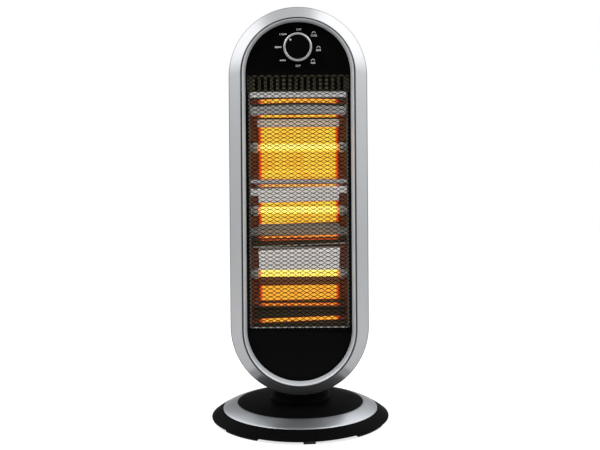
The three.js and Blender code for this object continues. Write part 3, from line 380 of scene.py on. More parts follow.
def select_where(test, edges=False):
    """Selects the active piece's vertices, or its edges, that pass the test. Edit mode stays on."""
    mesh = bpy.context.object.data
    bpy.ops.object.mode_set(mode="EDIT")
    bpy.context.tool_settings.mesh_select_mode = (not edges, edges, False)
    bpy.ops.mesh.select_all(action="DESELECT")
    bpy.ops.object.mode_set(mode="OBJECT")
    if edges:
        for edge in mesh.edges:
            edge.select = test(*(mesh.vertices[i].co for i in edge.vertices))
    else:
        for vertex in mesh.vertices:
            vertex.select = test(vertex.co)
    bpy.ops.object.mode_set(mode="EDIT")


def sweep_stadium(profile, capped=False):
    """A profile of [half width, y] carried round the tower's outline. An open one is capped."""
    draw_chain([(r, y, LOW_CENTRE) for r, y in profile], closed=not capped)
    straight = (TOP_CENTRE - LOW_CENTRE) * mm
    for centre, rise in ((LOW_CENTRE, straight), (TOP_CENTRE, -straight)):
        bpy.ops.mesh.spin(steps=HALF_STEPS, angle=-math.pi, center=(0, 0, centre * mm), axis=(0, 1, 0))
        bpy.ops.mesh.extrude_region_move(TRANSFORM_OT_translate={"value": (0, 0, rise)})
    bpy.ops.mesh.select_all(action="SELECT")
    bpy.ops.mesh.remove_doubles(threshold=1e-6)
    if capped:
        for _, y in (profile[0], profile[-1]):
            select_where(lambda place: abs(place.y - y * mm) < 1e-6)
            bpy.ops.mesh.edge_face_add()
    return close_up()


def add_block(x0, x1, y0, y1, z0, z1, rounding=0.0):
    """A block between the given faces. Its edges along Y may be rounded."""
    bpy.ops.object.select_all(action="DESELECT")
    bpy.ops.mesh.primitive_cube_add(
        size=1, location=((x0 + x1) / 2 * mm, (y0 + y1) / 2 * mm, (z0 + z1) / 2 * mm),
        scale=((x1 - x0) * mm, (y1 - y0) * mm, (z1 - z0) * mm))
    bpy.ops.object.transform_apply(location=True, rotation=True, scale=True)
    if rounding:
        select_where(lambda a, b: abs(a.y - b.y) > 1e-6, edges=True)
        bpy.ops.mesh.bevel(offset=rounding * mm, segments=6, affect="EDGES")
        bpy.ops.object.mode_set(mode="OBJECT")
    return bpy.context.object


def row_of(block, count, step):
    """The block repeated in a row, step by step."""
    row = block.modifiers.new("row", "ARRAY")
    row.count = count
    row.use_relative_offset = False
    row.use_constant_offset = True
    row.constant_offset_displace = Vector(step) * mm
    bpy.ops.object.modifier_apply(modifier="row")
    return block


def carve(piece, tool, operation="DIFFERENCE"):
    """Cuts, joins or intersects the piece with a tool, which is used up."""
    bpy.ops.object.select_all(action="DESELECT")
    bpy.context.view_layer.objects.active = piece
    piece.select_set(True)
    cutting = piece.modifiers.new("cutting", "BOOLEAN")
    cutting.operation = operation
    cutting.solver = "EXACT"
    cutting.object = tool
    bpy.ops.object.modifier_apply(modifier="cutting")
    bpy.data.objects.remove(tool)
    return piece


def turn_channel(profile, x, z, steps=24):
    """A solid turned about a line along Y."""
    return turn(profile, "Y", (x, 0, z), steps=steps, closed=False)


SHELL_OUTLINE = [(98.4, -35.7), (98.4, -8), (98.0, 2), (96.4, 12), (94.4, 20), (91.5, 28), (87.8, 34.5),
                 (83, 40), (78.2, 43.6), (73, 46), (67.8, 47.4), (62, 48)]
SHELL_WALL = 2.4
SHELL_TURN_Y = 40  # behind this the wall is as thick along Y as it is sideways
CASE_SCREWS = [(side * 89, z) for side in (-1, 1) for z in (189.7, 440)]
GRIP_HALF_WIDE = 50
GRIP_FLOOR_Y = 22
GRIP_LOW, GRIP_TOP = 512, 540
GRIP_WALL = 2.5
VENT_SLOTS = 7
VENT_STEP = 13
VENT_HIGH = 62
shell = sweep_stadium(SHELL_OUTLINE, capped=True)
fittings = sweep_stadium(SHELL_OUTLINE, capped=True)
posts = add_block(-GRIP_HALF_WIDE - GRIP_WALL, GRIP_HALF_WIDE + GRIP_WALL, GRIP_FLOOR_Y - GRIP_WALL, 60,
                  GRIP_LOW - GRIP_WALL, GRIP_TOP + GRIP_WALL)
for x, z in CASE_SCREWS:
    posts = carve(posts, turn_channel([(0, -60), (5.5, -60), (5.5, 36), (0, 36)], x, z), "UNION")
fittings = carve(fittings, posts, "INTERSECT")
hollow = [(r - SHELL_WALL, y - (SHELL_WALL if y > SHELL_TURN_Y else 0))
          for r, y in [(98.4, -45)] + SHELL_OUTLINE[1:]]
shell = carve(shell, sweep_stadium(hollow, capped=True))
shell = carve(shell, fittings, "UNION")
shell = carve(shell, add_block(-GRIP_HALF_WIDE, GRIP_HALF_WIDE, GRIP_FLOOR_Y, 70, GRIP_LOW, GRIP_TOP,
                               rounding=6))
for z in (147.7, 428):
    slot = add_block(-41, -37, 40, 60, z, z + VENT_HIGH, rounding=1.9)
    shell = carve(shell, row_of(slot, VENT_SLOTS, (VENT_STEP, 0, 0)))
for x, z in CASE_SCREWS:
    channel = turn_channel([(0, -60), (4, -60), (4, 20), (2.2, 20), (2.2, 50), (0, 50)], x, z)
    shell = carve(shell, channel)
shell = finish_shape(shell, "rear_tub", matt_black, smooth_angle=30)
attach(shell, "tower")
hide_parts("rear_shell")


# ---------------------------------------------------------------- neck
# Black turned column that carries the tower. Its foot flange rests on the dome, its top is cut to
# the tower's underside, and its hollow spigot turns in the base.
TOWER_CLEAR = 0.35
neck = turn([(11, 16), (16, 16), (16, 28.9), (43.4, 28.9), (43.4, 31), (42.6, 32.2), (42.2, 33.5),
             (42.2, 75), (11, 75)], steps=128)
clear = [(78, -71.3), (99.3, -41.8), (99.3, -20), (98.8, -8)]
clear += [(r + TOWER_CLEAR, y + TOWER_CLEAR) for r, y in SHELL_OUTLINE[2:]]
neck = carve(neck, sweep_stadium(clear, capped=True))
neck = finish_shape(neck, "neck_column", satin_black, bevel=0.25)
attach(neck, "tower")
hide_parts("neck")


# ---------------------------------------------------------------- front frame and trim ring
# The frame is a silver-painted ABS ring with a broad sloping face. The trim ring inside it is a
# brighter bead, bright-plated, that hides the gap to the front panel.
CREST_FROM_Y = -62
CREST_SQUEEZE = 0.965


def lower_crest(piece):
    """Draws the front of the piece in over the top of the tower, most of all in the middle."""
    select_where(lambda place: place.y < CREST_FROM_Y * mm and place.z > TOP_CENTRE * mm)
    bpy.ops.transform.resize(value=(1, 1, CREST_SQUEEZE), center_override=(0, 0, TOP_CENTRE * mm))
    bpy.ops.object.mode_set(mode="OBJECT")
    return piece


FRAME_PROFILE = [
    (99, -36), (99, -39), (98.8, -40.4), (98, -41.5), (81.2, -68.8), (80.4, -70.2), (79.4, -71),
    (78.1, -71), (78.1, -56.2), (76.1, -56.2), (76.1, -54.7), (80.1, -54.7), (80.1, -66), (96.6, -40.5),
    (96.6, -36)]
silver_paint = moulded(
    "silver_paint", (0.43, 0.44, 0.455), (0.5, 0.5, 0.51), dustiness=0.1, roughness=0.33, rubbing=0.02,
    grain=0.25, depth=0.03, Metallic=0.8)
# The rounded outer edge is painted darker as a painted reflection of the dim studio, and the land
# beside the trim ring is painted dark as painted shade in the joint.
PAINTED_SHADE_EDGES = [(-0.0424, -0.0416, 0.15), (-0.0699, -0.0706, 0.075)]  # from y, to y, tone
paint_tree = silver_paint.node_tree
paint_colour = paint_tree.nodes["Principled BSDF"].inputs["Base Color"]
paint_tone = paint_colour.links[0].from_socket
_, paint_place = place_on_piece(paint_tree)
for start, end, tone in PAINTED_SHADE_EDGES:
    there = graded(paint_tree, paint_place[1], start, end)
    paint_tone = mixed(paint_tree, there, paint_tone, (tone, tone, tone, 1))
paint_tree.links.new(paint_tone, paint_colour)
front_frame = lower_crest(sweep_stadium(FRAME_PROFILE))
front_frame = finish_shape(front_frame, "front_bezel", silver_paint, bevel=0.3)
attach(front_frame, "tower")
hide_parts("front_frame")

TRIM_PROFILE = [(77.8, -71.2), (77.2, -71.2), (76.2, -70.2), (75.1, -67), (74.3, -63.5), (73.8, -60),
                (73.8, -59.3), (77.8, -59.3)]
bright_trim = moulded(
    "bright_trim", (0.60, 0.62, 0.64), (0.7, 0.7, 0.7), dustiness=0.1, roughness=0.3, rubbing=0.04,
    grain=0.1, depth=0.1, Metallic=0.1, Specular_IOR_Level=0.5)
trim = finish_shape(lower_crest(sweep_stadium(TRIM_PROFILE)), "trim_bead", bright_trim, bevel=0.2)
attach(trim, "tower")
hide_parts("trim_ring")


# ---------------------------------------------------------------- front panel and dial print
# Gloss black fascia with the window for the lamps. The dial's plain numbers are printed in white:
# the power steps on the left, and the same steps with a swing arc on the right.
gloss_black = moulded(
    "gloss_black_abs", (0.0022, 0.0022, 0.0025), (0.012, 0.012, 0.012), dustiness=0.12, roughness=0.14,
    rubbing=0.06, grain=0.9, depth=0.12, Specular_IOR_Level=0.035)


def middle_height(node):
    """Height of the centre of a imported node's box, in mm."""
    low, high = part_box(node)
    return (low[2] + high[2]) / 2 / mm


DIAL_Z = middle_height("knob")
WINDOW_HALF_WIDE = 71.6
WINDOW_LOW, WINDOW_TOP = 141.5, 497.2
panel = sweep_stadium([(77.8, -59), (77.8, -56.5)], capped=True)
panel = carve(panel, add_block(-WINDOW_HALF_WIDE, WINDOW_HALF_WIDE, -70, -50, WINDOW_LOW, WINDOW_TOP,
                               rounding=1.2))
panel = carve(panel, turn_channel([(0, 50), (5, 50), (5, 65), (0, 65)], 0, DIAL_Z, steps=32))
panel = finish_shape(panel, "fascia", gloss_black, bevel=0.25)
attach(panel, "tower")
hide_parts("front_panel")

PRINT_Y = -59.02
CAPITAL = 0.72  # height of a capital in the font, of its size


def add_print(text, x, z, height, stretch):
    """Raised print on the panel, as a mesh, centred at x and z, its letters stretched sideways."""
    bpy.ops.object.select_all(action="DESELECT")
    bpy.ops.object.text_add(location=(x * mm, PRINT_Y * mm, z * mm), rotation=(math.pi / 2, 0, 0))
    words = bpy.context.object
    words.data.body = text
    words.data.size = height * mm / CAPITAL
    words.data.align_x = "CENTER"
    words.data.align_y = "CENTER"
    words.data.offset = 0.05 * mm
    words.data.extrude = 0.05 * mm
    words.scale.x = stretch
    bpy.ops.object.convert(target="MESH")
    bpy.ops.object.transform_apply(location=True, rotation=True, scale=True)
    return bpy.context.object


def join_as_one(pieces):
    bpy.ops.object.select_all(action="DESELECT")
    for piece in pieces:
        piece.select_set(True)
    bpy.context.view_layer.objects.active = pieces[0]
    bpy.ops.object.join()
    return bpy.context.object


MARKS = [  # text, x, height above the dial's centre, letters' height, stretch
    ("OFF", 1.6, 26.9, 2.7, 1.1), ("OFF", 0.4, -24.0, 2.7, 1.1), ("1200", -20.8, 20.4, 2.2, 1.8),
    ("800", -27.4, 2.3, 2.4, 1.9), ("400", -21.2, -16.2, 2.2, 1.9)]
SWING_MARKS = [("1200", 22.6, 20.4), ("800", 29.2, -0.2), ("400", 21.2, -18.0)]
ARC_R = 2.6
TICK_X = 2.3
TICK_HALF_WIDE = 0.3
marks = [add_print(text, x, DIAL_Z + rise, height, stretch) for text, x, rise, height, stretch in MARKS]
for watts, x, rise in SWING_MARKS:
    # A swing arc over the number, with a short tick at each end.
    z = DIAL_Z + rise
    marks.append(add_print(watts, x, z - 2.2, 2.5, 1.3))
    draw_chain([(x + ARC_R * math.cos(a), PRINT_Y, z + 0.2 + ARC_R * math.sin(a))
                for a in spread(0.6, math.pi - 0.6, 9)])
    bpy.ops.mesh.extrude_region_move(TRANSFORM_OT_translate={"value": (0, 0, 0.8 * mm)})
    arc = close_up()
    thick = arc.modifiers.new("ink", "SOLIDIFY")
    thick.thickness = 0.1 * mm
    thick.offset = 0
    bpy.ops.object.modifier_apply(modifier="ink")
    marks.append(arc)
    for side in (-1, 1):
        tick_x = x + side * TICK_X
        marks.append(add_block(tick_x - TICK_HALF_WIDE, tick_x + TICK_HALF_WIDE,
                               PRINT_Y - 0.05, PRINT_Y + 0.05, z + 0.6, z + 2.2))
ink = moulded("white_ink", (0.86, 0.86, 0.86), (0.6, 0.6, 0.6), dustiness=0.3, roughness=0.5,
              rubbing=0.1, grain=0.3, depth=0.2)
dial_print = finish_shape(join_as_one(marks), "dial_print", ink)
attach(dial_print, "tower")


# ---------------------------------------------------------------- reflector
# Bright-rolled aluminium pressed into three troughs with rounded ridges between them, a flat lip at
# the top and bottom and two flared sides. Each lamp lies in front of a trough, and its reflection is
# painted on the mirror as glowing bands, yellow in the middle and red towards the ends.
LAMP_HEIGHTS = [middle_height(f"quartz_tube_{number}") for number in (1, 2, 3)]
LAMP_PITCH = LAMP_HEIGHTS[0] - LAMP_HEIGHTS[1]
LAMP_Y = -32
MIRROR_FRONT_Y = -54.7
MIRROR_BACK_Y = -8
MIRROR_TOP, MIRROR_FOOT = 473.4, 139.7
TROUGH_DEEP = 36
TROUGH_POWER = 6
TROUGH_HALF = (LAMP_PITCH - 13) / 2
RIDGE_NOSE = 4
RIDGE_HALF = 4.64
section = [(MIRROR_FRONT_Y, MIRROR_TOP), (MIRROR_FRONT_Y, MIRROR_TOP - 7)]
for middle_z in LAMP_HEIGHTS + [LAMP_HEIGHTS[-1] - LAMP_PITCH]:
    ridge = middle_z + LAMP_PITCH / 2
    section += [(MIRROR_BACK_Y - TROUGH_DEEP - RIDGE_NOSE * (1 - t * t), ridge - t * RIDGE_HALF)
                for t in spread(-1, 1, 9)]
    if middle_z in LAMP_HEIGHTS:
        section += [(MIRROR_BACK_Y - TROUGH_DEEP * math.sin(a) ** TROUGH_POWER,
                     middle_z + TROUGH_HALF * math.sin(a))
                    for a in spread(math.pi / 2, -math.pi / 2, 49)]
section += [(MIRROR_FRONT_Y, MIRROR_FOOT + 3.6), (MIRROR_FRONT_Y, MIRROR_FOOT)]

BAND_HALF_WIDE = 60  # bow and slant are in mm at this distance from the middle
band, band_in, band_out = new_group(
    "painted_reflection_band",
    [("Foot", "Float", 0), ("Top", "Float", 1), ("Bow", "Float", 0), ("Slant", "Float", 0),
     ("Edge", "Float", 1)], [("Mask", "Float")])
_, place = place_on_piece(band)
across = calculate(band, "MULTIPLY", place[0], 1 / BAND_HALF_WIDE / mm)
height = calculate(band, "MULTIPLY", place[2], 1 / mm)
bowed = calculate(band, "MULTIPLY", across, across)
height = calculate(band, "MULTIPLY_ADD", bowed, band_in["Bow"], height)
height = calculate(band, "MULTIPLY_ADD", across, band_in["Slant"], height)
above_foot, above_top = (
    calculate(band, "DIVIDE", calculate(band, "SUBTRACT", height, band_in[label]), band_in["Edge"],
              clamp=True)
    for label in ("Foot", "Top"))
band.links.new(calculate(band, "SUBTRACT", above_foot, above_top, clamp=True), band_out["Mask"])


def add_band(tree, foot, top, bow=0.0, slant=0.0):
    """Mask of a band between two heights in mm, its edges 0.8 mm soft."""
    return add_node(tree, "Group", {"Foot": foot, "Top": top, "Bow": bow, "Slant": slant, "Edge": 0.8},
                    node_tree=band).outputs["Mask"]


def sum_bands(tree, bands):
    """A value for the bands, each given by its foot, top, strength, bow and slant."""
    total = 0.0
    for foot, top, strength, bow, slant in bands:
        total = calculate(tree, "MULTIPLY_ADD", add_band(tree, foot, top, bow, slant), strength, total)
    return total


def add_heat_colours(tree, heat, hottest, between):
    """Colours of a glow, from dark to the hottest as the heat goes from 0 to 1."""
    ramp = add_node(tree, "ValToRGB", {0: heat})
    ramp.color_ramp.elements[0].color = (0, 0, 0, 1)
    ramp.color_ramp.elements[1].color = (*hottest, 1)
    for at, colour in between:
        ramp.color_ramp.elements.new(at).color = (*colour, 1)
    return ramp.outputs[0]


# Painted reflections: pale grey bands for the room, glowing bands for the lamps, and dull red beside
# the troughs for the side sheets.
PAINTED_ROOM_REFLECTION_BANDS = [  # foot, top, grey, bow, slant
    (465.4, 473.6, 0.46, 0, 0), (443.2, 455.6, 0.25, 2.0, 0), (427.0, 435.6, 0.325, 0, 0),
    (345.2, 349.7, 0.36, 0, 0), (318.3, 338.8, 0.50, 0, -1.4), (270.6, 286.2, 0.12, 0, 0),
    (256.2, 257.4, 0.26, 0, -2.4), (216.0, 249.6, 0.54, 0, -2.4), (139.0, 141.9, 0.34, 0, 0)]
PAINTED_LAMP_REFLECTION_BANDS = [  # foot, top, heat, bow, slant
    (458.6, 463.8, 0.86, 1.5, 0), (438.0, 441.5, 0.92, 0, 0), (350.4, 426.8, 0.9, 0, 0),
    (340.0, 343.4, 0.86, 0, 0), (286.8, 318.2, 0.93, 0, -1.4), (267.4, 269.5, 0.78, 0, -0.8),
    (264.1, 265.2, 0.42, 0, -0.8), (178.2, 195.8, 0.84, 0, -0.8), (171.0, 174.2, 0.74, 0, 0),
    (149.9, 154.7, 0.84, 0, -2.0)]
PAINTED_SIDE_SHEET_REFLECTION_BANDS = [(350.4, 437.0, 0), (281.0, 328.5, 0), (178.0, 253.5, -5.0)]  # foot, top, slant
BESIDE_FROM = (0.0599, 0.0607)
UNDER_LOW_LAMP = (195.9, 207.0)
MIRROR_FADE = (0.0525, 0.0605)
mirror, mirror_tree, mirror_shader = new_material("painted_reflection_mirror", Metallic=0.3, Emission_Strength=1.0)
whole_place, place = place_on_piece(mirror_tree)
# The painted glow widens with depth, so that its ends stand in one upright line when seen from the
# front.
widening = calculate(mirror_tree, "MULTIPLY_ADD", place[1], 1 / CAMERA_AWAY, 1.0)
glow_x = calculate(mirror_tree, "DIVIDE", calculate(mirror_tree, "ABSOLUTE", place[0]), widening)
# The sheet itself has rolling lines and a little heat stain. Where it would mirror the room, a grey
# glow is painted on it as a painted reflection.
sheet = add_metal(mirror_tree, (0.12, 0.088, 0.048), (0.10, 0.06, 0.032), staining=0.5, roughness=0.25,
                  stretch=(0.04, 1, 1))
lay_on(mirror_tree, mirror_shader, sheet, 0.15)
shimmer = graded(mirror_tree, noise(mirror_tree, whole_place, 45.0, 3.0), 0.3, 0.7, 0.93, 1.05)
painted_room_reflection = calculate(mirror_tree, "MULTIPLY", sum_bands(mirror_tree, PAINTED_ROOM_REFLECTION_BANDS), shimmer)
fading = graded(mirror_tree, glow_x, *MIRROR_FADE, 1.0, 0.15, smooth=True)
heat = calculate(mirror_tree, "MULTIPLY", sum_bands(mirror_tree, PAINTED_LAMP_REFLECTION_BANDS), fading)
heat = calculate(mirror_tree, "MULTIPLY", heat, shimmer)
painted_lamp_reflection = add_heat_colours(mirror_tree, heat, (1.0, 0.78, 0.08), [
    (0.12, (0.06, 0.008, 0.003)), (0.3, (0.5, 0.03, 0.005)), (0.5, (1.0, 0.075, 0.008)),
    (0.7, (1.0, 0.24, 0.02)), (0.86, (1.0, 0.5, 0.035))])
painted_glow = mixed(mirror_tree, 1.0, painted_lamp_reflection, painted_room_reflection, blend_type="ADD")
# Beside each trough, and under the low lamp, a dull red is painted on the mirror as a painted
# reflection of the side sheets.
painted_side_sheet_reflection = 0.0
for foot, top, slant in PAINTED_SIDE_SHEET_REFLECTION_BANDS:
    painted_side_sheet_reflection = calculate(mirror_tree, "MAXIMUM", add_band(mirror_tree, foot, top, slant=slant), painted_side_sheet_reflection)
painted_side_sheet_reflection = calculate(mirror_tree, "MULTIPLY", painted_side_sheet_reflection, graded(mirror_tree, glow_x, *BESIDE_FROM))
painted_side_sheet_reflection = calculate(mirror_tree, "MAXIMUM", painted_side_sheet_reflection, add_band(mirror_tree, *UNDER_LOW_LAMP))
painted_glow = mixed(mirror_tree, painted_side_sheet_reflection, painted_glow, (0.085, 0.023, 0.012, 1))
mirror_tree.links.new(painted_glow, mirror_shader.inputs["Emission Color"])

SHEET_THICK = 0.5
FLARE = (46.7, 8.5)  # from front to back the sides come 8.5 mm nearer to the middle
draw_chain([(-72, y, z) for y, z in section])
bpy.ops.mesh.extrude_region_move(TRANSFORM_OT_translate={"value": (144 * mm, 0, 0)})
for side in (-1, 1):
    # The side edges follow the flare of the side sheets.
    bpy.ops.mesh.select_all(action="SELECT")
    outwards = Vector((side * FLARE[0], FLARE[1], 0)).normalized()
    bpy.ops.mesh.bisect(plane_co=(side * 67.5 * mm, MIRROR_FRONT_Y * mm, 0), plane_no=outwards,
                        clear_outer=True)
bpy.ops.mesh.select_all(action="SELECT")
bpy.ops.mesh.normals_make_consistent(inside=False)
bpy.ops.object.mode_set(mode="OBJECT")
reflector = bpy.context.object
if reflector.data.polygons[0].normal.y > 0:
    bpy.ops.object.mode_set(mode="EDIT")
    bpy.ops.mesh.flip_normals()
    bpy.ops.object.mode_set(mode="OBJECT")
gauge = reflector.modifiers.new("gauge", "SOLIDIFY")
gauge.thickness = SHEET_THICK * mm
gauge.offset = -1
bpy.ops.object.modifier_apply(modifier="gauge")
reflector = finish_shape(reflector, "trough_mirror", mirror)
dull_sheet = rolled("dull_sheet", (0.16, 0.15, 0.14), (0.10, 0.075, 0.05), staining=0.5, roughness=0.5,
                    stretch=(0.04, 1, 1), depth=0.2, Metallic=0.6)


def dull_back(piece, is_back):
    """Gives the piece's back faces, picked by their normals, the dull sheet."""
    piece.data.materials.append(dull_sheet)
    for face in piece.data.polygons:
        face.material_index = int(is_back(face.normal))


dull_back(reflector, lambda normal: normal.y > 0)
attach(reflector, "tower")
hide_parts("reflector")

# Painted reflection bands carried on across the side sheets, with dull red painted glow elsewhere.
SIDE_SHEET_PAINTED_BANDS = [  # foot, top, grey, slant
    (443.2, 455.6, 0.22, 0), (437.2, 443.0, 0.02, 0), (345.2, 349.7, 0.3, 0),
    (329.0, 338.8, 0.45, -1.4), (270.6, 281.0, 0.11, 0), (256.2, 270.4, 0.02, 0)]
SIDE_OUTLINE = [(67.8, MIRROR_FRONT_Y), (71.9, MIRROR_FRONT_Y), (71.9, -53.9), (68.6, -53.9),
                (60.1, -7.2), (59.3, -7.2)]
NOTCH_HALF = 8.1
NOTCH_FRONT_Y = -53.2
side_sheet, side_tree, side_shader = new_material(
    "side_mirror", Specular_IOR_Level=0.05, Emission_Strength=1.0)
sheet = add_metal(side_tree, (0.02, 0.009, 0.007), (0.01, 0.006, 0.005), staining=0.7, roughness=0.5,
                  stretch=(1, 1, 0.05))
_, place = place_on_piece(side_tree)
# The flange is all that lies in front of y -0.054, and its part within x 0.070 is painted pale as a
# painted highlight.
flange = graded(side_tree, place[1], -0.0538, -0.0543)
inner = graded(side_tree, calculate(side_tree, "ABSOLUTE", place[0]), 0.0702, 0.0698)
painted_highlight_lip = calculate(side_tree, "MULTIPLY", flange, inner)
side_tree.links.new(mixed(side_tree, painted_highlight_lip, sheet["Colour"], (0.3, 0.29, 0.27, 1)),
                    side_shader.inputs["Base Color"])
side_tree.links.new(sheet["Roughness"], side_shader.inputs["Roughness"])
# A dull red glow is painted on them beside the troughs, and the painted pale reflection bands carry
# on; the flange in front stays dark.
side_painted_glow = (0.066, 0.018, 0.009, 1)
for foot, top, grey, slant in SIDE_SHEET_PAINTED_BANDS:
    side_painted_glow = mixed(side_tree, add_band(side_tree, foot, top, slant=slant), side_painted_glow,
                      (grey, grey, grey * 0.95, 1))
side_tree.links.new(mixed(side_tree, flange, side_painted_glow, (0, 0, 0, 1)),
                    side_shader.inputs["Emission Color"])
for side, label in ((-1, "left"), (1, "right")):
    draw_chain([(side * x, y, MIRROR_FOOT) for x, y in SIDE_OUTLINE], closed=True)
    bpy.ops.mesh.edge_face_add()
    bpy.ops.mesh.extrude_region_move(
        TRANSFORM_OT_translate={"value": (0, 0, (MIRROR_TOP - MIRROR_FOOT) * mm)})
    wall = close_up()
    for z in LAMP_HEIGHTS:
        # A round hole for the lamp's cap, open to the front so that the lamp can be laid in.
        bore = [(0, side * 50), (NOTCH_HALF, side * 50), (NOTCH_HALF, side * 90), (0, side * 90)]
        wall = carve(wall, turn(bore[::side], "X", (0, LAMP_Y, z), steps=32, closed=False))
        wall = carve(wall, add_block(*sorted((side * 55, side * 76)), NOTCH_FRONT_Y, LAMP_Y,
                                     z - NOTCH_HALF, z + NOTCH_HALF))
    wall = finish_shape(wall, f"side_mirror_{label}", side_sheet)
    dull_back(wall, lambda normal: normal.x * side > 0.3 or normal.y > 0.5)
    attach(wall, "tower")
    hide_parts(f"reflector_side_{label}")


# ---------------------------------------------------------------- lamps
# Quartz tubes with a coiled tungsten filament, their ends cemented into turned ceramic caps. All
# three are lit: the coil is yellow-white, and the quartz takes its colour.
LAMP_FADE = (0.0525, 0.0582)
quartz = new_material(
    "glowing_quartz", Roughness=0.08, IOR=1.46, Transmission_Weight=0.3, Emission_Strength=0.62)
tungsten = new_material("glowing_tungsten", Metallic=1.0, Roughness=0.5, Emission_Strength=0.9)
for (_, tree, shader), warmth in ((quartz, 0.93), (tungsten, 1.0)):
    whole_place, place = place_on_piece(tree)
    from_middle = calculate(tree, "ABSOLUTE", place[0])
    fading = graded(tree, from_middle, *LAMP_FADE, warmth, 0.28, smooth=True)
    glints = graded(tree, noise(tree, whole_place, 160.0, 2.0), 0.3, 0.7, 0.94, 1.06)
    shine = add_heat_colours(tree, calculate(tree, "MULTIPLY", fading, glints), (1.0, 0.92, 0.14), [
        (0.2, (0.12, 0.01, 0.002)), (0.5, (1.0, 0.1, 0.01)), (0.8, (1.0, 0.7, 0.06))])
    tree.links.new(shine, shader.inputs["Emission Color"])
    hazy = mixed(tree, glints, (0.5, 0.42, 0.25, 1), (0.9, 0.8, 0.55, 1))
    tree.links.new(hazy, shader.inputs["Base Color"])
ceramic = moulded("lamp_ceramic", (0.86, 0.84, 0.78), (0.5, 0.42, 0.34), dustiness=0.4, roughness=0.75,
                  rubbing=0.1, grain=0.6, depth=0.8)

TUBE_PROFILE = [(4, -67.8), (5, -67.8), (5, 67.8), (4, 67.8)]
COIL_R = 1.4
COIL_WIRE_R = 0.28
COIL_HALF = 57
COIL_TURNS = 100
COIL_PITCH = 1.14
LEAD_PROFILE = [(0, 77.8), (0.5, 77.8), (0.5, 56.5), (1.4, 56.0), (1.4, 55.5), (0, 55.5)]
CAP_PROFILE = [(5.3, 58.3), (6.9, 58.3), (7.5, 58.9), (7.5, 66), (7.0, 66.5), (7.0, 67.5), (7.5, 68),
               (7.5, 74.7), (6.9, 75.3), (0.8, 75.3), (0.8, 68.1), (5.3, 68.1)]
for number, z in enumerate(LAMP_HEIGHTS, 1):
    centre = (0, LAMP_Y, z)
    tube = turn(TUBE_PROFILE, "X", centre, steps=32)
    tube = finish_shape(tube, f"quartz_lamp_{number}", quartz[0], bevel=0.2)
    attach(tube, "tower")
    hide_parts(f"quartz_tube_{number}")

    bpy.ops.object.select_all(action="DESELECT")
    bpy.ops.mesh.primitive_circle_add(
        vertices=6, radius=COIL_WIRE_R * mm, location=(-COIL_HALF * mm, LAMP_Y * mm, (z + COIL_R) * mm),
        rotation=(math.pi / 2, 0, 0))
    bpy.context.scene.cursor.location = Vector(centre) * mm
    bpy.ops.object.origin_set(type="ORIGIN_CURSOR")
    bpy.ops.object.transform_apply(location=False, rotation=True, scale=True)
    coil = bpy.context.object
    winding = coil.modifiers.new("winding", "SCREW")
    winding.axis = "X"
    winding.screw_offset = COIL_PITCH * mm
    winding.iterations = COIL_TURNS
    winding.steps = winding.render_steps = 10
    bpy.ops.object.modifier_apply(modifier="winding")
    bpy.ops.object.transform_apply(location=True, rotation=True, scale=True)
    leads = [turn([(r, side * h) for r, h in LEAD_PROFILE[::-side]], "X", centre, steps=12,
                  closed=False) for side in (-1, 1)]
    filament = finish_shape(join_as_one([coil, *leads]), f"coil_{number}", tungsten[0], smooth_angle=60)
    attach(filament, "tower")
    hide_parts(f"filament_{number}")

    for side, label in ((-1, "left"), (1, "right")):
        cap = turn([(r, side * h) for r, h in CAP_PROFILE], "X", centre, steps=40)
        cap = finish_shape(cap, f"ceramic_cap_{label}_{number}", ceramic, bevel=0.25)
        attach(cap, "tower")
        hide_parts(f"end_cap_{label}_{number}")


# ---------------------------------------------------------------- vent plate
# Dark bronzed steel strip behind the top of the guard, punched with a row of fifteen upright slots
# that let the hot air out.
SLOT_COUNT = 15
SLOT_STEP = 8.6
bronzed = rolled("bronzed_steel", (0.085, 0.076, 0.040), (0.10, 0.085, 0.045), staining=0.5,
                 roughness=0.42, stretch=(0.08, 1, 1), depth=0.5, Metallic=0.1)
vent = add_block(-75.1, 75.1, MIRROR_FRONT_Y, -53.7, 473.7, 500.7)
slot = add_block(-60.9, -56.5, -60, -50, 475.6, 495.2, rounding=2.1)
vent = carve(vent, row_of(slot, SLOT_COUNT, (SLOT_STEP, 0, 0)))
vent = finish_shape(vent, "vent_strip", bronzed, bevel=0.15)
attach(vent, "tower")
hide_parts("vent_plate")


# ---------------------------------------------------------------- guard
# Expanded-metal guard, 10.2 x 5.6 mm diamonds, black-bronzed. Each strand zigzags across and
# touches the next at every knot, and a flat border holds them behind the window.
PITCH_X, PITCH_Z = 10.16, 5.6
STRAND_HIGH = 1.2
STRAND_DEEP = 0.7
STRANDS = 64
HALF_PITCHES = 28
LOWEST_STRAND = 140
KNOT_LIFT = 0.25
guard_metal = rolled("guard_bronze", (0.004, 0.0035, 0.003), (0.009, 0.007, 0.005), staining=0.5,
                     roughness=0.5, stretch=(1, 1, 1), depth=0.3, Specular_IOR_Level=0.06)
bpy.ops.object.select_all(action="DESELECT")
bpy.ops.mesh.primitive_cube_add(
    size=1, location=(0, -55.6 * mm, LOWEST_STRAND * mm),
    scale=(HALF_PITCHES / 2 * PITCH_X * mm, STRAND_DEEP * mm, STRAND_HIGH * mm))
bpy.ops.object.transform_apply(location=True, rotation=True, scale=True)
strand = bpy.context.object
select_where(lambda a, b: abs(a.x - b.x) > 1e-4, edges=True)
bpy.ops.mesh.subdivide(number_cuts=HALF_PITCHES - 1)
select_where(lambda place: round(place.x / (PITCH_X / 2 * mm)) % 2 == 1)
bpy.ops.transform.translate(value=(0, 0, PITCH_Z / 2 * mm))
bpy.ops.object.mode_set(mode="OBJECT")
facing = strand.modifiers.new("facing", "MIRROR")
facing.use_axis = (False, False, True)
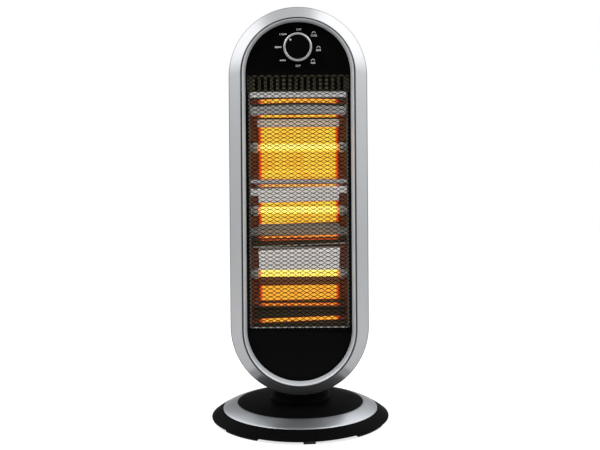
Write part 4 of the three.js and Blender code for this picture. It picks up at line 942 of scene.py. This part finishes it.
bpy.context.scene.cursor.location = (0, 0, (LOWEST_STRAND + PITCH_Z / 2 + KNOT_LIFT) * mm)
bpy.ops.object.origin_set(type="ORIGIN_CURSOR")
bpy.ops.object.modifier_apply(modifier="facing")
bpy.ops.object.transform_apply(location=True, rotation=True, scale=True)
strands = row_of(strand, STRANDS, (0, 0, PITCH_Z))
border = add_block(-75.1, 75.1, -56.2, -55.0, 138, 500.7)
border = carve(border, add_block(-72.4, 72.4, -60, -50, 140.8, 498))
guard = finish_shape(join_as_one([border, strands]), "diamond_guard", guard_metal, smooth_angle=20)
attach(guard, "tower")
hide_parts("guard_mesh")


# ---------------------------------------------------------------- dial
# Gloss black turned knob with a sunk face, a bright ring pressed round it and a white pointer.
KNOB_PROFILE = [(3.3, 59.3), (20, 59.3), (20, 60.2), (19.7, 70.6), (19.0, 71.8), (17.4, 72.2),
                (16.8, 71.9), (16.2, 71.9), (0, 71.9), (0, 69.4), (3.3, 69.4)]
knob = turn(KNOB_PROFILE, "Y", (0, 0, DIAL_Z), steps=96)
knob = finish_shape(knob, "dial_knob", gloss_black, bevel=0.2)
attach(knob, "dial")
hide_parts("knob")

KNOB_RING_PROFILE = [(17.1, 72.3), (17.1, 73.0), (17.5, 73.3), (18.6, 73.3), (19.5, 72.8), (20, 71.9),
                     (20, 70.9)]
ring_plating = moulded("ring_plating", (0.42, 0.43, 0.44), (0.5, 0.5, 0.5), dustiness=0.15,
                       roughness=0.28, rubbing=0.04, grain=0.1, depth=0.1, Metallic=0.4)
ring = finish_shape(turn(KNOB_RING_PROFILE, "Y", (0, 0, DIAL_Z), steps=96), "dial_ring", ring_plating)
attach(ring, "dial")
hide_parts("knob_ring")

POINTER_ANGLE = math.pi / 4
POINTER_Y = -72.6
POINTER_OUTLINE = [(12.9, -1.3), (12.9, 1.3), (13.3, 1.3), (16.2, 0.25), (16.2, -0.25), (13.3, -1.3)]
aim = Vector((-math.sin(POINTER_ANGLE), 0, math.cos(POINTER_ANGLE)))
across = Vector((aim.z, 0, -aim.x))
dial_front = Vector((0, POINTER_Y, DIAL_Z))
draw_chain([dial_front + aim * r + across * w for r, w in POINTER_OUTLINE], closed=True)
bpy.ops.mesh.edge_face_add()
bpy.ops.mesh.extrude_region_move(TRANSFORM_OT_translate={"value": (0, 0.6 * mm, 0)})
pointer_ink = moulded("pointer_ink", (0.5, 0.5, 0.5), (0.4, 0.4, 0.4), dustiness=0.3, roughness=0.5,
                      rubbing=0.1, grain=0.3, depth=0.2)
pointer = finish_shape(close_up(), "dial_pointer", pointer_ink)
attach(pointer, "dial")
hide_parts("knob_pointer")


# ---------------------------------------------------------------- floor and light
# Plain white sweep with soft daylight all round and two softboxes at the upper corners. In what
# glossy pieces mirror, the wall behind the heater and the place of the lens are dimmer.
DAYLIGHT = 0.45
SOFTBOX = 1.45
world = bpy.data.worlds.new("studio")
bpy.context.scene.world = world
world.use_nodes = True
sky = world.node_tree
sky.nodes.clear()
ray = add_node(sky, "LightPath").outputs
heading = add_node(sky, "SeparateXYZ", {0: add_node(sky, "TexCoord").outputs["Generated"]}).outputs
aside = calculate(sky, "ABSOLUTE", calculate(sky, "ADD", heading[0], 0.1))
wide = graded(sky, aside, 0.23, 0.34, smooth=True)
raised = graded(sky, heading[2], 0.1, 0.42, smooth=True)
plain = calculate(sky, "MULTIPLY_ADD", heading[0], 0.1, 0.97)
plain = calculate(sky, "MULTIPLY_ADD", heading[2], -0.12, plain)
mirrored = calculate(sky, "MULTIPLY_ADD", calculate(sky, "MULTIPLY", wide, raised), SOFTBOX, plain)
near_wall = graded(sky, heading[1], -0.75, -0.25, 0.1, 1.0, smooth=True)
far_wall = graded(sky, heading[1], 0.62, 0.85, 1.0, 0.38, smooth=True)
mirrored = calculate(sky, "MULTIPLY", calculate(sky, "MULTIPLY", mirrored, near_wall), far_wall)
seen = calculate(sky, "MAXIMUM", ray["Is Glossy Ray"], ray["Is Transmission Ray"])
level = add_node(sky, "Mix", {0: seen, 2: DAYLIGHT, 3: mirrored})
level = add_node(sky, "Mix", {0: ray["Is Camera Ray"], 2: level.outputs[0], 3: 1.0})
lit = add_node(sky, "Background", {"Color": (1, 1, 1, 1), "Strength": level.outputs[0]})
sky.links.new(lit.outputs[0], add_node(sky, "OutputWorld").inputs[0])

# The floor is lit evenly for the lens, apart from a painted shadow under the base, where its glow
# for the lens is taken away.
PAINTED_SHADOW_R = (0.1165, 0.119)
bpy.ops.object.select_all(action="DESELECT")
bpy.ops.mesh.primitive_plane_add(size=14, location=(0, 0, 0))
floor = bpy.context.object
floor.name = "floor"
white, white_tree, white_shader = new_material(
    "white_sweep", Base_Color=(0.55, 0.55, 0.55, 1), Roughness=0.9, Specular_IOR_Level=0.0,
    Emission_Strength=1.0)
ray = add_node(white_tree, "LightPath").outputs
whole_place, place = place_on_piece(white_tree)
from_axis = add_node(white_tree, "VectorMath", {0: whole_place}, operation="LENGTH").outputs["Value"]
to_the_back = graded(white_tree, place[1], -0.45, 0.0, 0.0, 0.7, smooth=True)
mirrored = calculate(white_tree, "MULTIPLY", ray["Is Glossy Ray"], to_the_back)
seen = calculate(white_tree, "MAXIMUM", ray["Is Camera Ray"], mirrored)
outside_painted_shadow = graded(white_tree, from_axis, *PAINTED_SHADOW_R, smooth=True)
seen = calculate(white_tree, "MULTIPLY", seen, outside_painted_shadow)
white_tree.links.new(mixed(white_tree, seen, (0, 0, 0, 1), (0.76, 0.76, 0.76, 1)),
                     white_shader.inputs["Emission Color"])
floor.data.materials.append(white)

for name, x in (("upper_left", -1.3), ("upper_right", 1.3)):
    lamp = bpy.data.objects.new(name, bpy.data.lights.new(name, "AREA"))
    bpy.context.scene.collection.objects.link(lamp)
    lamp.data.size = 0.9
    lamp.data.energy = 22
    lamp.location = (x, -0.9, 1.7)
    lamp.rotation_euler = (Vector((0, 0, 0.35)) - lamp.location).to_track_quat("-Z", "Y").to_euler()

bpy.context.scene.view_settings.view_transform = "Standard"
